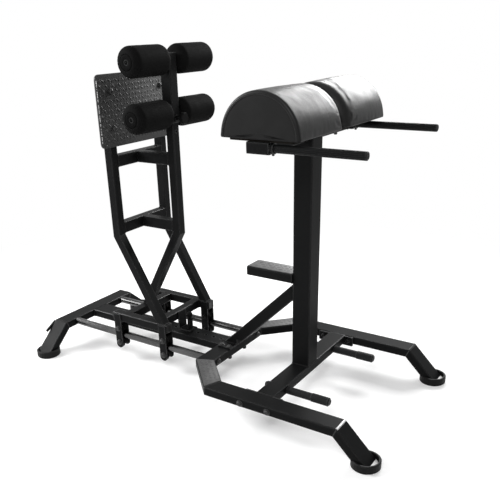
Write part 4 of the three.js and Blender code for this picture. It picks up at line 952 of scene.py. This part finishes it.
# %% Welds
BEAD_RADIUS, PUDDLE, PUDDLE_DIP_SHARE, BEAD_END_SHARE = 0.0026, 0.0042, 0.74, 0.5
POST_X, POST_BACK, POST_FOOT_Z, STEP_Z = 0.4018, 0.3614, 0.1426, 0.525
CRADLE_Z, ARM_ROOT_Y, ARM_END_Y = 1.0884, 0.0402, 0.306
BRACE_TOP_Z, BRACE_FOOT_X, BRACE_FOOT_Z = 0.4665, 0.020, 0.1487
SPINE_X, SPINE_Z = (-0.8103, -0.0167), 0.123
CARRIAGE, TRACK_Y, UPRIGHT, BED_Z, CROSS_OFFSETS = -0.3705, 0.1625, 0.0854, 0.2195, (-0.0935, 0.0865)
MAST_FACE, BRACE_HEIGHTS = 0.1063, (0.656, 0.948)
INNER_SIDE = TRACK_Y - 0.0202  # the inner face of a side tube, and a little air
POST_WELD, TUBE_WELD, BRACE_WELD, STEP_WELD = 0.0395, 0.0195, 0.0245, 0.0465  # half sizes at the joints
SLOPE_WELD, SPINE_WELD = 0.034, 0.0185


def weld(shape, corners, closed=True):
    """A rippled bead along the straight runs between corners."""
    points = list(corners) + ([corners[0]] if closed else [])
    for a, b in zip(points, points[1:]):
        steps = max(2, round((b - a).length / PUDDLE) * 2)
        along = (b - a).normalized()
        side = along.orthogonal().normalized()
        over = along.cross(side)
        rings = []
        for k in range(steps + 1):
            swell = BEAD_RADIUS * (1.0 if k % 2 else PUDDLE_DIP_SHARE)
            if k in (0, steps):
                swell *= BEAD_END_SHARE
            rings.append(round_ring(a + (b - a) * k / steps, side, over, swell, 6))
        shape.loft(rings)


def square(centre, u, v, half_u, half_v):
    """Corners of a joint line on the plane of u and v."""
    return [Vector(centre) + u * half_u * i + v * half_v * j for i, j in ((-1, -1), (1, -1), (1, 1), (-1, 1))]


frame_welds = Shape()
weld(frame_welds, square((POST_X, 0, POST_FOOT_Z), X_AXIS, Y_AXIS, POST_WELD, POST_WELD))
weld(frame_welds, square((POST_BACK, 0, STEP_Z), Y_AXIS, Z_AXIS, STEP_WELD, TUBE_WELD))
weld(frame_welds, square((POST_BACK, 0, BRACE_TOP_Z), Y_AXIS, Z_AXIS, TUBE_WELD, SLOPE_WELD))
brace_foot = square((BRACE_FOOT_X, 0, BRACE_FOOT_Z), X_AXIS, Y_AXIS, SLOPE_WELD, TUBE_WELD)
weld(frame_welds, brace_foot[:2], closed=False)
for x in SPINE_X:
    weld(frame_welds, square((x, 0, SPINE_Z), Y_AXIS, Z_AXIS, STEP_WELD, SPINE_WELD))
for side, sign in SIDES:
    arm_root = square((POST_X, sign * ARM_ROOT_Y, CRADLE_Z), X_AXIS, Z_AXIS, TUBE_WELD, TUBE_WELD)
    arm_end = square((POST_X, sign * ARM_END_Y, CRADLE_Z), X_AXIS, Z_AXIS, TUBE_WELD, TUBE_WELD)
    weld(frame_welds, arm_root)
    weld(frame_welds, arm_end[:2], closed=False)
frame_welds.piece("frame_welds", "base_frame", "frame_coat", weld_coat, 60)

carriage_welds = Shape()
for offset in CROSS_OFFSETS:
    for side, sign in SIDES:
        bed_joint = (CARRIAGE + offset, sign * INNER_SIDE, BED_Z)
        weld(carriage_welds, square(bed_joint, X_AXIS, Z_AXIS, TUBE_WELD, TUBE_WELD))
for height in BRACE_HEIGHTS:
    for side, sign in SIDES:
        upright_joint = (CARRIAGE - UPRIGHT, sign * INNER_SIDE, height)
        weld(carriage_welds, square(upright_joint, X_AXIS, Z_AXIS, TUBE_WELD, BRACE_WELD))
    weld(carriage_welds, square((CARRIAGE + MAST_FACE, 0, height), Y_AXIS, Z_AXIS, TUBE_WELD, BRACE_WELD))
carriage_welds.piece("carriage_welds", "carriage", "frame_coat", weld_coat, 60)
print("weld faces", len(frame_welds.faces) + len(carriage_welds.faces))

# %% [markdown]
# ## Bends, gussets and cup reflections
# Each leg leaves its tube at a bend. On the real frame the outer side of the bend is a smooth round, and at
# the front it catches the light as a bright stripe. A thin strip laid over the mitre turns from the one
# face to the other. Behind the top of each rear leg a small gusset stands out, and a pale disc in each
# foot cup is a painted reflection.

# %% Bends, gussets and liners
STRIP_HALF, STRIP_REACH, STRIP_LIFT, STRIP_SINK = 0.0365, 0.0052, 0.0005, 0.0004
STRIP_SHARES, STRIP_TAPER_SHARE, STRIP_CROWN_SHARE = (-1, -0.97, 0.97, 1), 0.3, 0.42
FRONT_BEND_X, REAR_BEND_Y, FOOT_X, REAR_FOOT_Y = 0.7479, 0.2350, 0.8505, 0.340
FRONT_FALL, REAR_FALL = math.radians(45), math.radians(41)
GUSSET_OUTLINE = ((0.238, 0.1385), (0.303, 0.1035), (0.296, 0.094), (0.238, 0.118))  # across and up
GUSSET_FACES = (-0.8907, -0.8975)
CUP_REFLECTION_DISC = [(0.0432, 0.01552), (0.0432, 0.01572)]  # radius and height of its underside and its top
FEET = ((FOOT_X, RAIL_Y), (-FOOT_X, REAR_FOOT_Y))


def bend_strip(shape, corner, inward, outward, across):
    """A strip over a mitre, round in section, from one face to the next."""
    normal = -(inward + outward).normalized()
    rings = []
    for end in STRIP_SHARES:
        lift = STRIP_LIFT * (STRIP_TAPER_SHARE if abs(end) == 1 else 1)
        middle = corner + across * STRIP_HALF * end
        outline = [middle + inward * STRIP_REACH - normal * STRIP_SINK]
        for share in (0.0, 0.25, 0.5, 0.75, 1.0):
            low = middle + inward * STRIP_REACH * (1 - share) ** 2 + outward * STRIP_REACH * share ** 2
            outline.append(low + normal * (lift + STRIP_REACH * STRIP_CROWN_SHARE * 2 * share * (1 - share)))
        outline.append(middle + outward * STRIP_REACH - normal * STRIP_SINK)
        rings.append(outline)
    shape.loft(rings)


rear_bends, gussets, cup_reflection_discs = Shape(), Shape(), Shape()
strip_faces = 0
for side, sign in SIDES:
    front_away = Vector((math.cos(FRONT_FALL), 0, -math.sin(FRONT_FALL)))
    front_bend = Shape()
    bend_strip(front_bend, Vector((FRONT_BEND_X, sign * RAIL_Y, BASE_TOP)), -X_AXIS, front_away, Y_AXIS)
    # The near strip is coloured bright metal, a painted highlight; the far one keeps the coat.
    front_finish = bend_painted_highlight if side == "near" else bend_coat
    front_bend.piece(f"front_bend_{side}", "base_frame", "frame_coat", front_finish, 60)
    strip_faces += len(front_bend.faces)
    rear_away = Vector((0, sign * math.cos(REAR_FALL), -math.sin(REAR_FALL)))
    bend_strip(rear_bends, Vector((-FOOT_X, sign * REAR_BEND_Y, BASE_TOP)), -Y_AXIS * sign, rear_away, X_AXIS)
    gussets.loft([[Vector((x, sign * y, z)) for y, z in GUSSET_OUTLINE] for x in GUSSET_FACES])
    for x, y in FEET:
        # Painted reflection: a pale disc in each foot cup.
        cup_reflection_discs.turned(CUP_REFLECTION_DISC, (x, sign * y, 0), (0, 0, 1), 40)
rear_bends.piece("rear_bend_strips", "base_frame", "frame_coat", weld_coat, 60)
gussets.piece("rear_gussets", "base_frame", "frame_coat", black_coat, 30)
cup_reflection_discs.piece("foot_cup_reflection_discs", "base_frame", "foot_rubber", cup_painted_reflection, 30)
print("bend strips", strip_faces + len(rear_bends.faces), "faces")

# %% [markdown]
# ## Bolts
# The frame holds plain heads where its bolts are. A real button head has a washer under it, a domed face
# and a six-sided socket, so one of these is set over each. Under each cradle arm a small six-sided nub
# shows too, as on the real frame.

# %% Bolts
BOLT_RADIUS, SOCKET_RADIUS = 0.0108, 0.0046
WASHER = [(BOLT_RADIUS * share, up) for share, up in (
    (1.32, 0.0), (1.32, 0.0012), (1.26, 0.0016), (1, 0.0016))]
DOME = [(BOLT_RADIUS * share, up) for share, up in (
    (1, 0.0014), (1, 0.0036), (0.93, 0.0062), (0.76, 0.0083), (0.58, 0.0092))]
DOME += [(SOCKET_RADIUS, 0.0093), (SOCKET_RADIUS - 0.0004, 0.0078), (0.001, 0.0077)]
NUB = [(0.0075, 0), (0.0075, 0.0062), (0.005, 0.0082)]
NUB_PLACE = (0.4118, 0.208, 1.0682)
FLANGE_X, FLANGE_BOLT_HALF, FLANGE_BOLT_Z, RAIL_SIDE = POST_X - 0.0063, 0.062, 0.120, RAIL_Y + TUBE_HALF
BRACE_PLATE_X, BRACE_BOLT_HALF, BRACE_BOLT_Y, BRACE_BOLT_Z = 0.031, 0.021, 0.060, 0.1483
ROD_Z, ROD_BOLTS = 0.124, ((0.0635, 1), (-0.8905, -1))
BRACKET_X, BRACKET_BOLT_Y, ROLLER_HALF_PITCH = (-0.5045, -0.2315), TRACK_Y + 0.0253, 0.0355


def button_bolt(shape, place, axis):
    """A washer, a domed head and its hexagonal socket, standing on a face."""
    shape.turned(WASHER, place, axis, 24)
    shape.turned(DOME, place, axis, 24, squared=(5, 6))


frame_bolts = Shape()
for side, sign in SIDES:
    for shift in (-FLANGE_BOLT_HALF, FLANGE_BOLT_HALF):
        button_bolt(frame_bolts, (FLANGE_X + shift, sign * RAIL_SIDE, FLANGE_BOLT_Z), (0, sign, 0))
    for x, way in ROD_BOLTS:
        button_bolt(frame_bolts, (x, sign * TRACK_Y, ROD_Z), (way, 0, 0))
    for shift in (-BRACE_BOLT_HALF, BRACE_BOLT_HALF):
        button_bolt(frame_bolts, (BRACE_PLATE_X + shift, sign * BRACE_BOLT_Y, BRACE_BOLT_Z), (0, 0, 1))
    nub_x, nub_y, nub_z = NUB_PLACE
    frame_bolts.turned(NUB, (nub_x, sign * nub_y, nub_z), (0, 0, -1), 18, squared=(0, 1))
frame_bolts.piece("frame_bolts", "base_frame", "frame_coat", bolt_steel, 35)

carriage_bolts = Shape()
for y, z in PLATE_BOLTS:
    button_bolt(carriage_bolts, (PLATE_FACE, y, z), (1, 0, 0))
for x in BRACKET_X:
    for side, sign in SIDES:
        for z in (ROD_Z - ROLLER_HALF_PITCH, ROD_Z + ROLLER_HALF_PITCH):
            button_bolt(carriage_bolts, (x, sign * BRACKET_BOLT_Y, z), (0, sign, 0))
carriage_bolts.piece("carriage_bolts", "carriage", "frame_coat", bolt_steel, 35)
print("bolts", len(frame_bolts.verts) + len(carriage_bolts.verts), "points")

# %% [markdown]
# ## Rivets and rims
# Three small rivets show near the edge of the foot plate; the far edge has the same. Along both sides of
# the plate lies a thin half-round strip, coloured as bright dashed steel: a painted highlight on the edge.

# %% Rivets and rims
RIVET = [(0.0042, 0), (0.004, 0.0009), (0.0028, 0.0018), (0.001, 0.0022)]
RIVET_Y, RIVET_HEIGHTS = 0.209, (1.022, 1.165, 1.272)
RIM_RADIUS, RIM_Y, RIM_SINK, RIM_TIP_SHARE = 0.0016, 0.2312, 0.0003, 0.2
RIM_STATIONS = (  # height and share of the radius
    (1.031, RIM_TIP_SHARE), (1.034, 1), (1.277, 1), (1.280, RIM_TIP_SHARE))
rivets, rims = Shape(), Shape()
for side, sign in SIDES:
    for z in RIVET_HEIGHTS:
        rivets.turned(RIVET, (PLATE_FACE, sign * RIVET_Y, z), (1, 0, 0), 14)
    rims.loft([[Vector((PLATE_FACE - RIM_SINK + c * swell, sign * RIM_Y + s * swell, z))
                for c, s in arc(RIM_RADIUS, -math.pi / 2, math.pi / 2, 6)] for z, swell in RIM_STATIONS])
rivets.piece("plate_rivets", "carriage", "tread_coat", bolt_steel, 60)
# Painted highlight along the foot plate's edges.
rims.piece("plate_rims", "carriage", "tread_coat", rim_painted_highlight, 60)
print("rivets", len(rivets.verts), "points, rims", len(rims.verts))

# %% [markdown]
# ## End caps
# Open tube ends are closed with pressed-in plastic caps: a flange with rounded corners and a slightly sunk
# middle. A cap is a loft of rounded squares, each a little further in and up or down.

# %% End caps
CAP_CORNER, CAP_HALF, STEP_CAP_HALF = 0.005, 0.020, 0.047
CAP_RINGS = (  # how far in from the tube's outside, and how far up
    (0.0003, 0.0002), (0.0003, 0.0022), (0.0014, 0.0032), (0.0038, 0.0032), (0.0048, 0.0022))
BED_END, UPRIGHT_TOP = 0.162, 1.290


def end_cap(shape, centre, u, v, half_u, half_v):
    """A pressed-in cap on a tube end that faces along u x v."""
    rings = []
    for inset, lift in CAP_RINGS:
        middle = Vector(centre) + u.cross(v) * lift
        flat_u, flat_v = half_u - inset - CAP_CORNER, half_v - inset - CAP_CORNER
        ring = []
        for k, (i, j) in enumerate(((1, 1), (-1, 1), (-1, -1), (1, -1))):
            ring += [middle + u * (i * flat_u + c) + v * (j * flat_v + s)
                     for c, s in arc(CAP_CORNER, k * math.pi / 2, (k + 1) * math.pi / 2, 4)]
        rings.append(ring)
    shape.loft(rings)


caps, step_cap = Shape(), Shape()
for side, sign in SIDES:
    y = sign * TRACK_Y
    end_cap(caps, (CARRIAGE - UPRIGHT, y, UPRIGHT_TOP), X_AXIS, Y_AXIS, CAP_HALF, CAP_HALF)
    end_cap(caps, (CARRIAGE + BED_END, y, BED_Z), Y_AXIS, Z_AXIS, CAP_HALF, CAP_HALF)
    end_cap(caps, (CARRIAGE - BED_END, y, BED_Z), Z_AXIS, Y_AXIS, CAP_HALF, CAP_HALF)
caps.piece("carriage_end_caps", "carriage", "black_plastic", cap_plastic, 40)
end_cap(step_cap, (step_low.x, 0, STEP_Z), Z_AXIS, Y_AXIS, CAP_HALF, STEP_CAP_HALF)
step_cap.piece("step_end_cap", "base_frame", "black_plastic", cap_plastic, 40)
print("end caps", len(caps.faces) + len(step_cap.faces), "faces")

# %% [markdown]
# ## Floor
# The machine stands on a plain pale floor in an open white room. The floor takes the light and the shadow
# as pale paper does near the machine. Further out it fades into the white of the room, but only for the
# rays that show the background, so that it sends no more light onto the steel.

# %% Floor
GLOW, FADE_FROM, FADE_TO, FLOOR_HALF, WHITE = 0.3, 1.3, 2.6, 30, (1, 1, 1, 1)
floor_mesh = bpy.data.meshes.new("floor")
floor_mesh.from_pydata(square((0, 0, 0), X_AXIS, Y_AXIS, FLOOR_HALF, FLOOR_HALF), [], [(0, 1, 2, 3)])
floor = bpy.data.objects.new("floor", floor_mesh)
bpy.context.scene.collection.objects.link(floor)
paper = Finish("pale_floor", {"Roughness": 0.9, "Specular IOR Level": 0.1})
paper.feed("Base Color", paper.blend(paper.cloud(3), grey(0.78), grey(0.8)))


def background_ray(nodes):
    """1 for the rays that show the background: those of the camera, of gloss and through glass."""
    camera_ray, gloss_ray, glass_ray = (nodes.node("ShaderNodeLightPath", output=f"Is {kind} Ray")
                                        for kind in ("Camera", "Glossy", "Transmission"))
    return camera_ray.larger(gloss_ray).larger(glass_ray)


seen = background_ray(paper)
glow = paper.node("ShaderNodeEmission", inputs={"Color": WHITE, "Strength": seen * GLOW}, output="Emission")
near = paper.node("ShaderNodeAddShader", inputs={0: Value(paper, paper.shader.outputs["BSDF"]), 1: glow})
away = paper.node("ShaderNodeVectorMath", {"operation": "LENGTH"}, {0: paper.place()}, output="Value")
fade = paper.node("ShaderNodeMapRange", {"interpolation_type": "SMOOTHSTEP"}, {
    "Value": away, "From Min": FADE_FROM, "From Max": FADE_TO}, output="Result")
far = paper.node("ShaderNodeEmission", inputs={"Color": WHITE, "Strength": 1.0}, output="Emission")
paper.show(paper.node("ShaderNodeMixShader", inputs={0: fade * seen, 1: near, 2: far}), "Material Output")
floor_mesh.materials.append(paper.material)
print("floor fades to white from", FADE_FROM, "to", FADE_TO, "m")

# %% [markdown]
# ## Room
# The room is white to look at and in reflections, but lights the machine only dimly. One mask makes both:
# full white for the background rays and a weak grey for all others.

# %% Room
ROOM_LIGHT = 0.3
world = bpy.data.worlds.new("studio")
bpy.context.scene.world = world
world.use_nodes = True
room = Nodes(world.node_tree)
white = room.node("ShaderNodeBackground", inputs={"Color": WHITE}, output="Background")
dim = room.node("ShaderNodeBackground", inputs={"Color": WHITE, "Strength": ROOM_LIGHT}, output="Background")
either = room.node("ShaderNodeMixShader", inputs={0: background_ray(room), 1: dim, 2: white})
room.show(either, "World Output")
print("room light", ROOM_LIGHT)

# %% [markdown]
# ## Lamps
# Black steel shows its form only by what it reflects, so the lamps are few and placed like a studio's: one
# softbox behind, which draws the bright band over the pads, one behind on the left for the rear leg, a wide
# one on the left for the guide rods, a small one in front, and a dim one overhead.

# %% Lamps
def softbox(name, place, aim, size, power):
    """A rectangular lamp at a place, turned towards its aim."""
    lamp = bpy.data.lights.new(name, "AREA")
    lamp.shape, lamp.energy = "RECTANGLE", power
    lamp.size, lamp.size_y = size
    holder = bpy.data.objects.new(name, lamp)
    holder.location = place
    holder.rotation_euler = (Vector(aim) - Vector(place)).to_track_quat("-Z", "Y").to_euler()
    bpy.context.scene.collection.objects.link(holder)


softbox("back", place=(0.25, 2.4, 2.1), aim=(0.4, 0.2, 1.2), size=(1.6, 0.85), power=80)
softbox("back_left", place=(-3.37, -1.45, 2.24), aim=(-0.85, -0.33, 0.07), size=(1.1, 1.1), power=130)
softbox("front", place=(1.3, -2.7, 2.6), aim=(0.3, 0, 0.9), size=(0.7, 0.7), power=34)
softbox("left", place=(-2.75, -1.8, 2.6), aim=(-2.75, 0.5, 0.0), size=(2.0, 1.3), power=64)
softbox("overhead", place=(0.4, -0.8, 4.0), aim=(0, 0, 0.5), size=(3.0, 3.0), power=12)
print("lamps", [lamp.name for lamp in bpy.data.lights])

# %% [markdown]
# ## Colours
# The colours are shown as written.

# %% Finish
bpy.context.scene.view_settings.view_transform = "Standard"
